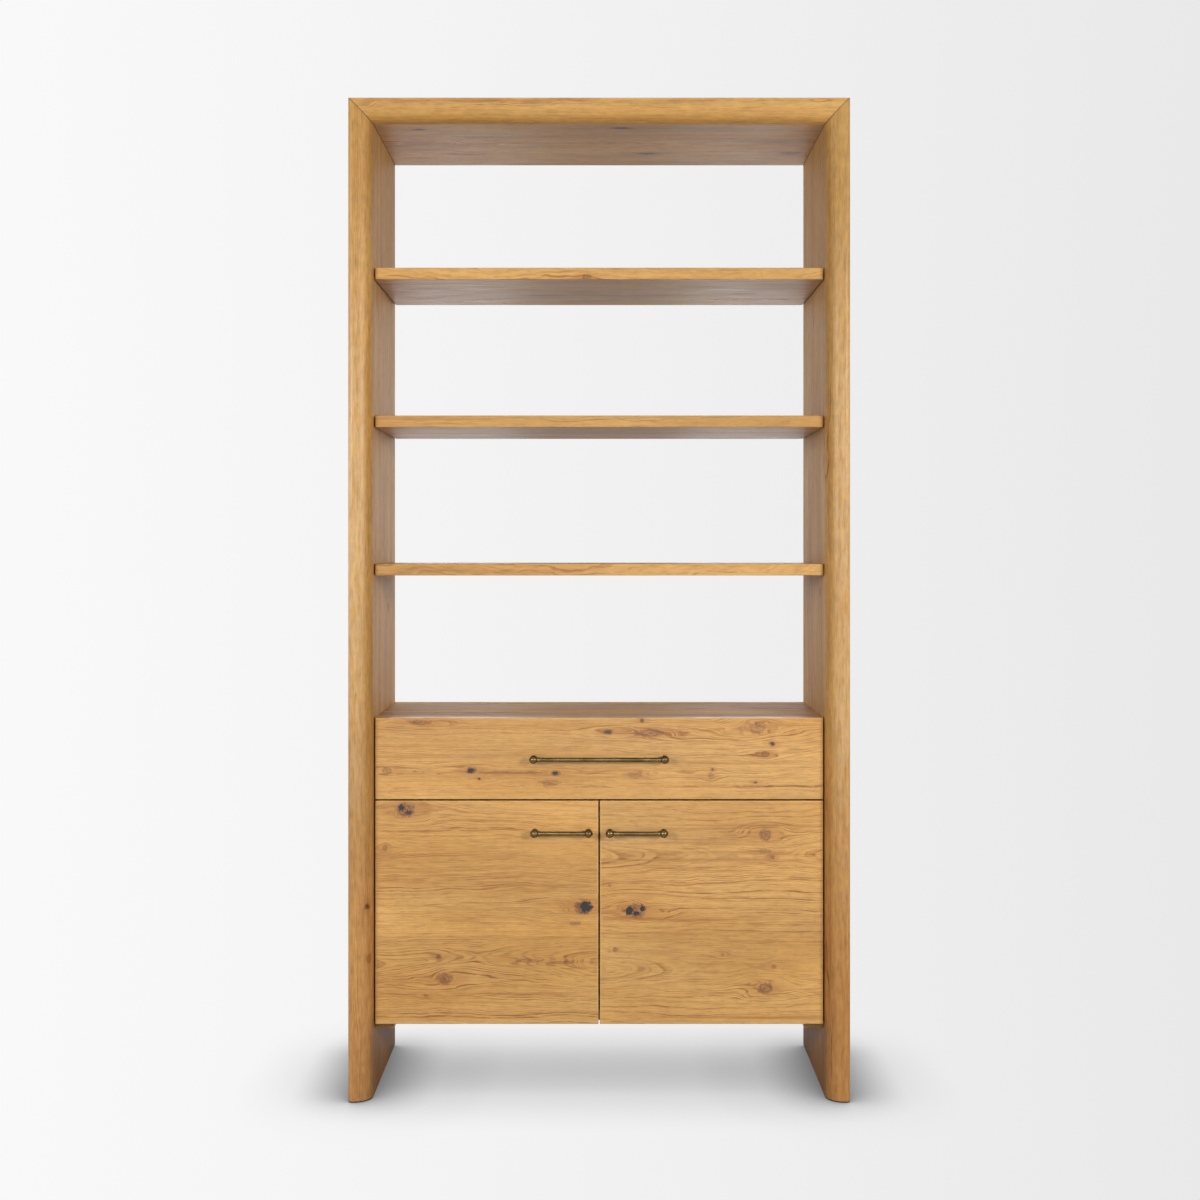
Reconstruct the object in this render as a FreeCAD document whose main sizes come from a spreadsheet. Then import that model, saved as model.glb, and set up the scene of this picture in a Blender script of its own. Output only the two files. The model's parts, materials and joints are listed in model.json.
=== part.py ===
import FreeCAD, Part
import math
import operator
import os
import Sketcher

# Open bookcase over a closed cabinet: a mitred frame with a rounded front edge,
# three fixed shelves, a drawer on telescopic slides and two doors on concealed hinges.
# Millimetres. X runs to the right, Y to the back and Z up from the floor. The origin is
# on the floor under the middle of the unit.

SIZES = {
    # Whole unit
    "width": 1067,
    "height": 2134,
    "depth": 406,
    # Frame boards, their rounded front edge and the loose tongues in the mitres
    "frame_thickness": 50,
    "arris_radius": 10,
    "tongue_width": 24,
    "tongue_thickness": 6,
    "tongue_stop": 55,
    "tongue_room": 0.1,
    # Foot pads under the two sides
    "pad_height": 3,
    "pad_inset": 1,
    # Shelves, held at each end by dowels
    "front_setback": 39,
    "shelf_thickness": 25,
    "shelf_end_gap": 2,
    "shelf_corner_radius": 4,
    "shelf_ease": 1.5,
    "upper_shelf_level": 1778,
    "middle_shelf_level": 1461,
    "lower_shelf_level": 1143,
    "dowel_radius": 4,
    "dowel_seat": 18,
    "dowel_reach": 24,
    "dowel_inset": 60,
    "dowel_room": 0.05,
    "dowel_end_room": 0.5,
    # Cabinet boards, the back panel in its grooves and the cleats under the bottom
    "cabinet_level": 813,
    "underside_level": 156,
    "board_thickness": 22,
    "top_gap": 1,
    "back_thickness": 12,
    "back_inset": 6,
    "groove_depth": 6,
    "groove_room": 0.1,
    "cleat_width": 40,
    "cleat_height": 18,
    "cleat_setback": 3,
    "cleat_screw_inset": 45,
    # Drawer front and doors
    "front_thickness": 22,
    "front_ease": 2,
    "reveal": 3,
    "drawer_front_height": 175,
    # Drawer box with dovetailed corners
    "box_height": 110,
    "box_back_room": 15,
    "box_wall": 14,
    "box_floor_room": 14,
    "tail_width": 24,
    "tail_taper": 2.5,
    "drawer_bottom_thickness": 6,
    "drawer_bottom_rise": 10,
    "drawer_groove_depth": 5,
    "panel_screw_inset": 56,
    "panel_screw_margin": 14,
    # Telescopic slides
    "slide_depth": 12.7,
    "slide_height": 45,
    "slide_setback": 12,
    "slide_gauge": 1.2,
    "slide_lip": 1.5,
    "slide_run": 0.3,
    "outer_flange": 9,
    "middle_flange": 10.4,
    "slide_screw_inset": 50,
    # Concealed hinges
    "hinge_inset": 85,
    "axis_depth": 11,
    "swing_room": 0.4,
    "hinge_room": 1.2,
    "neck_room": 2.8,
    "pin_radius": 1.75,
    "pin_room": 0.05,
    "pin_end_room": 0.1,
    "eye_wall": 1.4,
    "arm_height": 12,
    "arm_thickness": 3.5,
    "arm_length": 45,
    "arm_bend_radius": 2.8,
    "plate_thickness": 2.5,
    "plate_start": 10,
    "plate_end": 3,
    "plate_wing_width": 14,
    "plate_wing_height": 44,
    "cup_radius": 17.5,
    "cup_border": 5,
    "cup_depth": 15.5,
    "cup_wall": 1,
    "cup_floor": 0.8,
    "cup_room": 0.1,
    "flange_rim": 2.5,
    "flange_thickness": 1.2,
    "flange_wing_reach": 16,
    "flange_wing_height": 60,
    "flange_wing_radius": 4,
    # Screws
    "screw_radius": 2,
    "screw_head_radius": 3.2,
    "screw_length": 12,
    "screw_bite": 12,
    "screw_room": 0.05,
    # Bar pulls with ball ends
    "pull_projection": 30,
    "ball_radius": 9,
    "bar_radius": 4.5,
    "bar_room": 0.05,
    "bar_end_room": 0.5,
    "collar_radius": 5.6,
    "collar_length": 3,
    "post_radius": 4.5,
    "post_waist_radius": 3.6,
    "post_foot_radius": 7,
    "post_foot_height": 2,
    "drawer_pull_span": 280,
    "door_pull_span": 115,
    "door_pull_inset": 23,
    "door_pull_drop": 67,
    "bolt_radius": 2,
    "bolt_head_radius": 4,
    "bolt_head_height": 2.5,
    "bolt_bite": 10,
    "bolt_room": 0.1,
    # Magnetic catches under the divider
    "catch_offset": 34,
    "catch_width": 30,
    "catch_height": 12,
    "catch_depth": 38,
    "catch_room": 0.3,
    "strike_thickness": 1,
    "strike_height": 16,
}

OPERATORS = {"+": operator.add, "-": operator.sub, "*": operator.mul, "/": operator.truediv}
AXES = {"+X": (1, 0, 0), "-X": (-1, 0, 0), "+Y": (0, 1, 0), "-Y": (0, -1, 0), "+Z": (0, 0, 1)}
# Each plane's role in a body's origin, and the sign of its normal along the third axis
PLANES = {"XY": ("XY_Plane", 1), "XZ": ("XZ_Plane", -1), "YZ": ("YZ_Plane", 1)}
TAIL_COUNT = 3
NEAR = 0.001


class Size:
    """A length worked out from the sheet: its expression and its present value."""

    def __init__(self, text, value):
        self.text = text
        self.value = value

    def __add__(self, other):
        return combine(self, "+", other)

    def __radd__(self, other):
        return combine(other, "+", self)

    def __sub__(self, other):
        return combine(self, "-", other)

    def __rsub__(self, other):
        return combine(other, "-", self)

    def __mul__(self, other):
        return combine(self, "*", other)

    def __rmul__(self, other):
        return combine(other, "*", self)

    def __truediv__(self, other):
        return combine(self, "/", other)

    def __neg__(self):
        return combine(-1, "*", self)


class Sheet:
    """The driving dimensions as attributes, one for each cell of the sheet."""

    def __init__(self, table):
        for name, value in table.items():
            setattr(self, name, Size(f"sizes.{name}", float(value)))


def as_size(item):
    return item if isinstance(item, Size) else Size(f"({item})", float(item))


def combine(left, sign, right):
    left, right = as_size(left), as_size(right)
    return Size(f"({left.text} {sign} {right.text})", OPERATORS[sign](left.value, right.value))


def root(size):
    return Size(f"sqrt({size.text})", math.sqrt(size.value))


def bind(thing, prop, size):
    thing.setExpression(prop, as_size(size).text)


def bind_place(thing, spot):
    for letter, size in zip("xyz", spot):
        bind(thing, f"Placement.Base.{letter}", size)


def turn_to(axis):
    """The rotation that lays the local Z axis along the named axis."""
    return FreeCAD.Rotation(FreeCAD.Vector(0, 0, 1), FreeCAD.Vector(*AXES[axis]))


doc = FreeCAD.newDocument("bookcase")
sheet = doc.addObject("Spreadsheet::Sheet", "sizes")
for row, (alias, number) in enumerate(SIZES.items(), 1):
    sheet.set(f"A{row}", str(number))
    sheet.setAlias(f"A{row}", alias)
doc.recompute()
s = Sheet(SIZES)
nodes = []


# Building blocks

def node(thing, label):
    """Registers a finished piece under the name of its file."""
    thing.Label = label
    nodes.append(thing)
    return thing


def new_body(name):
    return doc.addObject("PartDesign::Body", name)


def draw(sketch, path):
    """Draws a closed path of corners (u, v), with (radius, centre u, centre v) added where an arc starts."""
    spots = [FreeCAD.Vector(as_size(corner[0]).value, as_size(corner[1]).value, 0) for corner in path]
    starts, ends, arcs = [], [], []
    for index, corner in enumerate(path):
        here, there = spots[index], spots[(index + 1) % len(path)]
        if len(corner) == 2:
            edge = sketch.addGeometry(Part.LineSegment(here, there), False)
            turn = 1
        else:
            radius, middle = corner[2], FreeCAD.Vector(corner[3].value, corner[4].value, 0)
            first, last = here - middle, there - middle
            turn = 1 if first.cross(last).z > 0 else -1
            angles = [math.atan2(arm.y, arm.x) for arm in (first, last)][::turn]
            circle = Part.Circle(middle, FreeCAD.Vector(0, 0, 1), radius.value)
            edge = sketch.addGeometry(Part.ArcOfCircle(circle, *angles), False)
            arcs.append((edge, radius))
        starts.append((edge, 1 if turn > 0 else 2))
        ends.append((edge, 2 if turn > 0 else 1))
    for index, corner in enumerate(path):
        sketch.addConstraint(Sketcher.Constraint("Coincident", *ends[index - 1], *starts[index]))
        for kind, size in zip(("DistanceX", "DistanceY"), corner):
            rule = Sketcher.Constraint(kind, -1, 1, *starts[index], as_size(size).value)
            bind(sketch, f"Constraints[{sketch.addConstraint(rule)}]", size)
    for edge, radius in arcs:
        rule = Sketcher.Constraint("Radius", edge, radius.value)
        bind(sketch, f"Constraints[{sketch.addConstraint(rule)}]", radius)


def sketch_on(body, plane, offset, path):
    role, sign = PLANES[plane]
    sketch = body.newObject("Sketcher::SketchObject", f"{body.Name}_outline")
    datum = next(feature for feature in body.Origin.OriginFeatures if feature.Role == role)
    sketch.AttachmentSupport = [(datum, "")]
    sketch.MapMode = "FlatFace"
    bind(sketch, "AttachmentOffset.Base.z", offset * sign)
    draw(sketch, path)
    return sketch


def extrude(body, plane, path, start, length):
    """Adds a prism of the path, from start along the plane's third axis."""
    pad = body.newObject("PartDesign::Pad", f"{body.Name}_pad")
    pad.Profile = sketch_on(body, plane, as_size(start), path)
    pad.Reversed = PLANES[plane][1] < 0
    bind(pad, "Length", length)
    body.Tip = pad


def cut_out(body, plane, path, start, length):
    """Removes a prism of the path, from start along the plane's third axis."""
    doc.recompute()
    before = body.Shape.Volume
    pocket = body.newObject("PartDesign::Pocket", f"{body.Name}_pocket")
    pocket.Profile = sketch_on(body, plane, as_size(start), path)
    pocket.Reversed = PLANES[plane][1] > 0
    bind(pocket, "Length", length)
    body.Tip = pocket
    doc.recompute()
    if body.Shape.Volume > before - NEAR:
        raise RuntimeError(f"a cut in {body.Name} removes nothing")


def cylinder(body, kind, spot, axis, radius, length):
    """Adds or takes away a round length of a body; kind is Additive or Subtractive."""
    feature = body.newObject(f"PartDesign::{kind}Cylinder", f"{body.Name}_round")
    bind(feature, "Radius", radius)
    bind(feature, "Height", length)
    feature.Placement = FreeCAD.Placement(FreeCAD.Vector(), turn_to(axis))
    bind_place(feature, spot)


def ease(body, radius, wanted):
    """Rounds the edges of a body whose boxes the test picks."""
    doc.recompute()
    base = body.Tip
    names = [f"Edge{i}" for i, edge in enumerate(base.Shape.Edges, 1) if wanted(edge.BoundBox)]
    fillet = body.newObject("PartDesign::Fillet", f"{body.Name}_ease")
    fillet.Base = (base, names)
    bind(fillet, "Radius", radius)


def rectangle(u_low, v_low, u_high, v_high):
    return [(u_low, v_low), (u_high, v_low), (u_high, v_high), (u_low, v_high)]


def board(name, x, y, z):
    """A squared board between the low and high limits on each axis."""
    body = new_body(name)
    extrude(body, "XY", rectangle(x[0], y[0], x[1], y[1]), z[0], z[1] - z[0])
    return body


def turned(name, path):
    """A round piece: corners (radius, height) spun about its own Z axis."""
    body = new_body(name)
    spin = body.newObject("PartDesign::Revolution", f"{name}_spin")
    spin.Profile = sketch_on(body, "XZ", as_size(0), path)
    spin.ReferenceAxis = (spin.Profile[0], ["V_Axis"])
    spin.Angle = 360
    body.Tip = spin
    return body


def rod(name, radius, low, high):
    return turned(name, [(0, low), (radius, low), (radius, high), (0, high)])


def group(name, members):
    compound = doc.addObject("Part::Compound", name)
    compound.Links = members
    return compound


def copies(name, master, spots, axis="+Z"):
    """Copies of a piece at the spots, with its own Z axis along the named axis."""
    links = []
    for spot in spots:
        link = doc.addObject("App::Link", f"{name}_copy")
        link.LinkedObject = master
        link.Placement = FreeCAD.Placement(FreeCAD.Vector(), turn_to(axis))
        bind_place(link, spot)
        links.append(link)
    return group(name, links)


def mirrored(name, source):
    """The right-hand twin of a left-hand piece."""
    twin = doc.addObject("Part::Mirroring", name)
    twin.Source = source
    twin.Normal = FreeCAD.Vector(1, 0, 0)
    return twin


def both_sides(name, left):
    return group(name, [left, mirrored(f"{name}_right", left)])


def drilled(name, blank, holes):
    cut = doc.addObject("Part::Cut", name)
    cut.Base = blank
    cut.Tool = group(f"{name}_holes", holes)
    return cut


# Places that several pieces share

half_width = s.width / 2
inner = half_width - s.frame_thickness
front = -(s.depth / 2)
back = s.depth / 2
overshoot = s.frame_thickness / 5
face = front + s.front_setback
face_back = face + s.front_thickness

door_top = s.cabinet_level - s.drawer_front_height - s.reveal
divider_middle = door_top + s.reveal / 2
divider_low = divider_middle - s.board_thickness / 2
divider_high = divider_middle + s.board_thickness / 2

# The hinge axis stands as far in from the door's edge as its front arris needs to swing past the side.
swing_drop = s.axis_depth - s.front_ease
swing_gap = s.reveal - s.swing_room
axis_inset = s.front_ease + (swing_drop * swing_drop - swing_gap * swing_gap) / (2 * swing_gap)
axis_back = s.front_thickness - s.axis_depth
axis_x = -inner + s.reveal + axis_inset
axis_y = face + s.axis_depth
corner_sweep = root(axis_inset * axis_inset + axis_back * axis_back)
carcase_front = axis_y + corner_sweep + s.hinge_room
hinge_levels = [s.underside_level + s.hinge_inset, door_top - s.hinge_inset]
hinge_spots = [(axis_x, axis_y, level) for level in hinge_levels]

back_panel_rear = back - s.back_inset
back_panel_front = back_panel_rear - s.back_thickness

box_half = inner - s.slide_depth
box_low = divider_high + s.box_floor_room
box_high = box_low + s.box_height
box_back = back_panel_front - s.box_back_room
slide_level = box_low + s.box_height / 2
slide_front = face_back + s.slide_setback
slide_length = box_back - slide_front


# Fasteners and their holes

def screw_pair(name, length):
    """A countersunk screw whose flat head top lies at its origin, and the hole that takes it."""
    shank, head = s.screw_radius, s.screw_head_radius
    plain = turned(name, [(0, -length), (shank, -length), (shank, -s.slide_gauge), (head, 0), (0, 0)])
    shank, head, end = shank + s.screw_room, head + s.screw_room, -length - s.screw_room
    hole = [(0, end), (shank, end), (shank, -s.slide_gauge), (head, 0), (head, head), (0, head)]
    return plain, turned(f"{name}_hole", hole)


def dowel_pair(name):
    """A dowel that crosses the plane of its origin, and the bore that takes it."""
    pin = rod(name, s.dowel_radius, -s.dowel_seat, s.dowel_reach)
    low, high = -s.dowel_seat - s.dowel_end_room, s.dowel_reach + s.dowel_end_room
    return pin, rod(f"{name}_hole", s.dowel_radius + s.dowel_room, low, high)


def bolt_pair(name, through):
    """A pull's bolt, its head on the inner face, and the hole through the wood and into the post."""
    length = through + s.bolt_bite
    path = [(0, -length), (s.bolt_radius, -length), (s.bolt_radius, 0)]
    path += [(s.bolt_head_radius, 0), (s.bolt_head_radius, s.bolt_head_height), (0, s.bolt_head_height)]
    return turned(name, path), rod(f"{name}_hole", s.bolt_radius + s.bolt_room, -length - s.bolt_room, 0)


short_screw, short_screw_hole = screw_pair("short_screw", s.screw_length)
cleat_screw, cleat_screw_hole = screw_pair("cleat_screw", s.cleat_width + s.screw_bite)
panel_screw, panel_screw_hole = screw_pair("panel_screw", s.box_wall + s.screw_bite)
dowel, dowel_hole = dowel_pair("dowel")


def dowel_spots(level, board_front, board_back):
    return [(-inner, board_front + s.dowel_inset, level), (-inner, board_back - s.dowel_inset, level)]


# Each board's dowels: the level of its middle and its front and back edges
shelf_levels = {
    "shelf_upper": s.upper_shelf_level,
    "shelf_middle": s.middle_shelf_level,
    "shelf_lower": s.lower_shelf_level,
}
shelf_spots = {
    name: dowel_spots(level - s.shelf_thickness / 2, face, back) for name, level in shelf_levels.items()
}
cabinet_top_middle = s.cabinet_level - s.board_thickness / 2
carcase_spots = {
    "cabinet_top": dowel_spots(cabinet_top_middle, face_back + s.top_gap, back_panel_front),
    "drawer_divider": dowel_spots(divider_middle, carcase_front, back_panel_front),
    "cabinet_bottom": dowel_spots(s.underside_level + s.board_thickness / 2, carcase_front, back_panel_front),
}
dowel_holes = {
    name: copies(f"{name}_bores", dowel_hole, spots, "+X")
    for name, spots in {**shelf_spots, **carcase_spots}.items()
}


def joined_dowels(name, table):
    spots = [spot for row in table.values() for spot in row]
    return node(both_sides(name, copies(f"{name}_left", dowel, spots, "+X")), name)


def dowelled(name, blank):
    """A board with its dowel bores at both ends."""
    return node(drilled(name, blank, [both_sides(f"{name}_ends", dowel_holes[name])]), name)


# Frame: two sides and a top of one section, mitred at the corners

def edge_section(inset):
    """The boards' section, across from the outer face and deep from the front, less an inset all round.

    The front edge is rounded on the inside, as deep as the shelves and fronts are set back."""
    thick = s.frame_thickness
    sweep, arris = s.front_setback, s.arris_radius
    return [
        (inset, s.depth - inset),
        (inset, arris, arris - inset, arris, arris),
        (arris, inset),
        (thick - sweep, inset, sweep - inset, thick - sweep, sweep),
        (thick - inset, sweep),
        (thick - inset, s.depth - inset),
    ]


def mapped(section, place):
    """A section laid in a plane: place turns (across, deep) into the plane's two coordinates."""
    path = []
    for corner in section:
        spot = place(corner[0], corner[1])
        path.append(spot if len(corner) == 2 else (*spot, corner[2], *place(corner[3], corner[4])))
    return path


def left_section(inset):
    """The left side's section as seen from above."""
    return mapped(edge_section(inset), lambda across, deep: (-half_width + across, front + deep))


def mitre_point(along, across):
    """A point by the left mitre: along its normal towards the top board, and across it."""
    middle_x = -half_width + s.frame_thickness / 2
    middle_z = s.height - s.frame_thickness / 2
    lean = root(as_size(0.5))
    return middle_x + lean * (along + across), middle_z + lean * (along - across)


def mitre_slab(low, high, half):
    """A strip along the mitre's normal, from low to high, with the given half thickness."""
    corners = ((low, -half), (low, half), (high, half), (high, -half))
    return [mitre_point(along, across) for along, across in corners]


def flipped(path):
    return [(-u, v) for u, v in path]


whole_depth = (front - overshoot, s.depth + 2 * overshoot)
slot_run = (front + s.tongue_stop, s.depth - 2 * s.tongue_stop)
slot_half = s.tongue_thickness / 2 + s.tongue_room
slot_reach = s.tongue_width / 2 + s.tongue_room
outer_x, outer_z = -half_width - overshoot, s.height + overshoot
inner_x, inner_z = -inner + overshoot, s.height - s.frame_thickness - overshoot

pad = new_body("pad")
extrude(pad, "XY", left_section(s.pad_inset), 0, s.pad_height)
node(both_sides("foot_pads", pad), "foot_pads")

side_blank = new_body("side_blank")
extrude(side_blank, "XY", left_section(as_size(0)), s.pad_height, s.height - s.pad_height)
cut_out(side_blank, "XZ", [(outer_x, outer_z), (inner_x, inner_z), (inner_x, outer_z)], *whole_depth)
cut_out(side_blank, "XZ", mitre_slab(-slot_reach, overshoot, slot_half), *slot_run)

top_blank = new_body("top_blank")
top_path = mapped(edge_section(as_size(0)), lambda across, deep: (front + deep, s.height - across))
extrude(top_blank, "YZ", top_path, -half_width, s.width)
left_waste = [(outer_x, outer_z), (inner_x, inner_z), (outer_x, inner_z)]
left_slot = mitre_slab(-overshoot, slot_reach, slot_half)
for waste, slot in ((left_waste, left_slot), (flipped(left_waste), flipped(left_slot))):
    cut_out(top_blank, "XZ", waste, *whole_depth)
    cut_out(top_blank, "XZ", slot, *slot_run)
node(top_blank, "top_panel")

tongue = new_body("tongue")
tongue_path = mitre_slab(-s.tongue_width / 2, s.tongue_width / 2, s.tongue_thickness / 2)
extrude(tongue, "XZ", tongue_path, slot_run[0] + s.tongue_room, slot_run[1] - 2 * s.tongue_room)
node(both_sides("mitre_tongues", tongue), "mitre_tongues")


# Shelves

def shelf(name, level):
    half = inner - s.shelf_end_gap
    blank = board(f"{name}_blank", (-half, half), (face, back), (level - s.shelf_thickness, level))
    ease(blank, s.shelf_corner_radius, lambda box: box.ZLength > NEAR and box.YMax < face.value + NEAR)
    ease(blank, s.shelf_ease, lambda box: box.ZLength < NEAR and box.YMin < back.value - NEAR)
    dowelled(name, blank)


for shelf_name, shelf_level in shelf_levels.items():
    shelf(shelf_name, shelf_level)
joined_dowels("shelf_dowels", shelf_spots)


# Cabinet boards, back panel and cleats

def groove(body, low, high):
    """The groove along a board for the edge of the back panel."""
    path = rectangle(back_panel_front - s.groove_room, low, back_panel_rear + s.groove_room, high)
    cut_out(body, "YZ", path, -half_width, s.width)


cabinet_low = s.underside_level + s.board_thickness
cabinet_high = s.cabinet_level - s.board_thickness
groove_deep = s.groove_depth + s.groove_room
across_unit = (-inner, inner)

cabinet_top = board("top_board", across_unit, (face_back + s.top_gap, back), (cabinet_high, s.cabinet_level))
groove(cabinet_top, cabinet_high - overshoot, cabinet_high + groove_deep)
dowelled("cabinet_top", cabinet_top)

divider = board("divider_board", across_unit, (carcase_front, back_panel_front), (divider_low, divider_high))
dowelled("drawer_divider", divider)

cabinet_bottom = board("bottom_board", across_unit, (carcase_front, back), (s.underside_level, cabinet_low))
groove(cabinet_bottom, cabinet_low - groove_deep, cabinet_low + overshoot)
dowelled("cabinet_bottom", cabinet_bottom)

panel_z = (cabinet_low - s.groove_depth, cabinet_high + s.groove_depth)
node(board("back_board", across_unit, (back_panel_front, back_panel_rear), panel_z), "cabinet_back")
joined_dowels("carcase_dowels", carcase_spots)

cleat_front = carcase_front + s.cleat_setback
cleat_face = -inner + s.cleat_width
cleat_middle = s.underside_level - s.cleat_height / 2
cleat_ends = (cleat_front + s.cleat_screw_inset, back_panel_front - s.cleat_screw_inset)
cleat_rows = [cleat_ends[0], (cleat_ends[0] + cleat_ends[1]) / 2, cleat_ends[1]]
cleat_spots = [(cleat_face, y, cleat_middle) for y in cleat_rows]
cleat_holes = copies("cleat_bores", cleat_screw_hole, cleat_spots, "+X")
cleat_z = (s.underside_level - s.cleat_height, s.underside_level)
cleat_blank = board("cleat_blank", (-inner, cleat_face), (cleat_front, back_panel_front), cleat_z)
cleat = node(drilled("cleat", cleat_blank, [cleat_holes]), "bottom_cleat_left")
node(mirrored("cleat_twin", cleat), "bottom_cleat_right")
left_cleat_screws = copies("cleat_screws_left", cleat_screw, cleat_spots, "+X")
node(both_sides("cleat_screws", left_cleat_screws), "cleat_screws")


# Telescopic slides: three nested channels on each side of the drawer

def lipped_channel(low, high, half):
    """A channel section open to the right, from its web at low to its lips at high."""
    gauge, lip = s.slide_gauge, s.slide_lip
    lower = [
        (low, -half),
        (high, -half),
        (high, gauge + lip - half),
        (high - gauge, gauge + lip - half),
        (high - gauge, gauge - half),
        (low + gauge, gauge - half),
    ]
    return lower + [(u, -v) for u, v in reversed(lower)]


def plain_channel(low, high, half):
    """A channel section open to the left, with its web at high."""
    gauge = s.slide_gauge
    lower = [(low, gauge - half), (low, -half), (high, -half)]
    inside = [(high - gauge, half - gauge), (high - gauge, gauge - half)]
    return lower + [(u, -v) for u, v in reversed(lower)] + inside


def slide_member(name, section):
    body = new_body(name)
    path = [(-inner + u, slide_level + v) for u, v in section]
    extrude(body, "XZ", path, slide_front, slide_length)
    return body


def slide_screw_spots(offset):
    ends = (slide_front + s.slide_screw_inset, box_back - s.slide_screw_inset)
    return [(-inner + offset, y, slide_level) for y in ends]


nest = s.slide_gauge + s.slide_lip + s.slide_run
outer_half = s.slide_height / 2
middle_web = s.slide_gauge + s.slide_run
inner_lip = middle_web + s.slide_gauge + s.slide_run
inner_web = s.slide_depth - s.slide_gauge

outer_spots = slide_screw_spots(s.slide_gauge)
outer_holes = copies("slide_outer_bores", short_screw_hole, outer_spots, "+X")
outer_blank = slide_member("slide_outer_blank", lipped_channel(as_size(0), s.outer_flange, outer_half))
outer_member = node(drilled("slide_outer", outer_blank, [outer_holes]), "slide_outer_left")
node(mirrored("slide_outer_twin", outer_member), "slide_outer_right")
left_outer_screws = copies("slide_outer_screws_left", short_screw, outer_spots, "+X")
node(both_sides("slide_outer_screws", left_outer_screws), "slide_outer_screws")

middle_section = lipped_channel(middle_web, s.middle_flange, outer_half - nest)
middle_member = node(slide_member("slide_middle", middle_section), "slide_middle_left")
node(mirrored("slide_middle_twin", middle_member), "slide_middle_right")

inner_spots = slide_screw_spots(inner_web)
inner_holes = copies("slide_inner_bores", short_screw_hole, inner_spots, "-X")
inner_section = plain_channel(inner_lip, s.slide_depth, outer_half - 2 * nest)
inner_blank = slide_member("slide_inner_blank", inner_section)
inner_member = node(drilled("slide_inner", inner_blank, [inner_holes]), "slide_inner_left")
node(mirrored("slide_inner_twin", inner_member), "slide_inner_right")
left_inner_screws = copies("slide_inner_screws_left", short_screw, inner_spots, "-X")
node(both_sides("slide_inner_screws", left_inner_screws), "slide_inner_screws")


# Bar pulls with ball ends

def post_form():
    """The left post of a pull, from its foot on the front face out to its ball, bored for the bar."""
    ball_y = s.ball_radius - s.pull_projection
    body = new_body("post")
    cylinder(body, "Additive", (0, 0, 0), "-Y", s.post_foot_radius, s.post_foot_height)
    stem = body.newObject("PartDesign::AdditiveCone", "post_stem")
    bind(stem, "Radius1", s.post_radius)
    bind(stem, "Radius2", s.post_waist_radius)
    bind(stem, "Height", -ball_y)
    stem.Placement = FreeCAD.Placement(FreeCAD.Vector(), turn_to("-Y"))
    ball = body.newObject("PartDesign::AdditiveSphere", "post_ball")
    bind(ball, "Radius", s.ball_radius)
    bind(ball, "Placement.Base.y", ball_y)
    cylinder(body, "Subtractive", (0, ball_y, 0), "+X", s.bar_radius + s.bar_room, 2 * s.ball_radius)
    bolt_hole_depth = s.bolt_bite + s.bolt_room
    cylinder(body, "Subtractive", (0, 0, 0), "-Y", s.bolt_radius + s.bolt_room, bolt_hole_depth)
    return body


def bar_form(name, span):
    """The bar between two balls, with a collar against each."""
    half = span / 2
    collar = half - s.ball_radius + s.bar_end_room
    inside = collar - s.collar_length
    tip = half - s.bar_end_room
    lower = [
        (0, -tip),
        (s.bar_radius, -tip),
        (s.bar_radius, -collar),
        (s.collar_radius, -collar),
        (s.collar_radius, -inside),
        (s.bar_radius, -inside),
    ]
    return turned(name, lower + [(u, -v) for u, v in reversed(lower)])


def pull(place, suffix, middle, level, span, bolt):
    """One pull, its bar, posts and bolts: its middle, its level and the bolt that suits the front."""
    ends = [middle - span / 2, middle + span / 2]
    feet = [copies(f"{place}_post_{i}{suffix}", form, [(x, face, level)])
            for i, (form, x) in enumerate(zip((post_left, post_right), ends))]
    bar_y = face + s.ball_radius - s.pull_projection
    bar = copies(f"{place}_bar{suffix}", bar_form(f"{place}_bar_form", span), [(middle, bar_y, level)], "+X")
    bolts = copies(f"{place}_bolt{suffix}", bolt[0], [(x, bolt[2], level) for x in ends], "+Y")
    holes = copies(f"{place}_bolt_bores{suffix}", bolt[1], [(x, bolt[2], level) for x in ends], "+Y")
    node(bar, f"{place}_pull_bar{suffix}")
    posts = node(group(f"{place}_posts{suffix}", feet), f"{place}_pull_posts{suffix}")
    node(bolts, f"{place}_pull_bolts{suffix}")
    return [bar, posts, bolts], holes


post_left = post_form()
post_right = mirrored("post_right", post_left)


# Drawer: an applied front on a dovetailed box

def tail(z_middle, y_end, y_root):
    """A dovetail on the end of a drawer side, wide at the end and narrow at its root."""
    wide = s.tail_width / 2
    narrow = wide - s.tail_taper
    return [
        (y_end, z_middle - wide),
        (y_end, z_middle + wide),
        (y_root, z_middle + narrow),
        (y_root, z_middle - narrow),
    ]


def waste_between(lower, upper, y_end, y_root):
    """The gap between two tails, which a pin fills; past the outermost tail it runs over the edge."""
    wide = s.tail_width / 2
    narrow = wide - s.tail_taper
    return [
        (y_end, lower + wide if lower else box_low - overshoot),
        (y_end, upper - wide if upper else box_high + overshoot),
        (y_root, upper - narrow if upper else box_high + overshoot),
        (y_root, lower + narrow if lower else box_low - overshoot),
    ]


tail_pitch = s.box_height / TAIL_COUNT
tail_middles = [box_low + tail_pitch * (i + 0.5) for i in range(TAIL_COUNT)]
corner_front = (face_back, face_back + s.box_wall)
corner_back = (box_back, box_back - s.box_wall)
bottom_low = box_low + s.drawer_bottom_rise
bottom_high = bottom_low + s.drawer_bottom_thickness
bottom_front = face_back + s.box_wall - s.drawer_groove_depth
bottom_back = box_back - s.box_wall + s.drawer_groove_depth
bottom_half = box_half - s.box_wall + s.drawer_groove_depth
groove_y = (bottom_front - s.groove_room, bottom_back + s.groove_room)
groove_z = (bottom_low - s.groove_room, bottom_high + s.groove_room)

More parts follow.
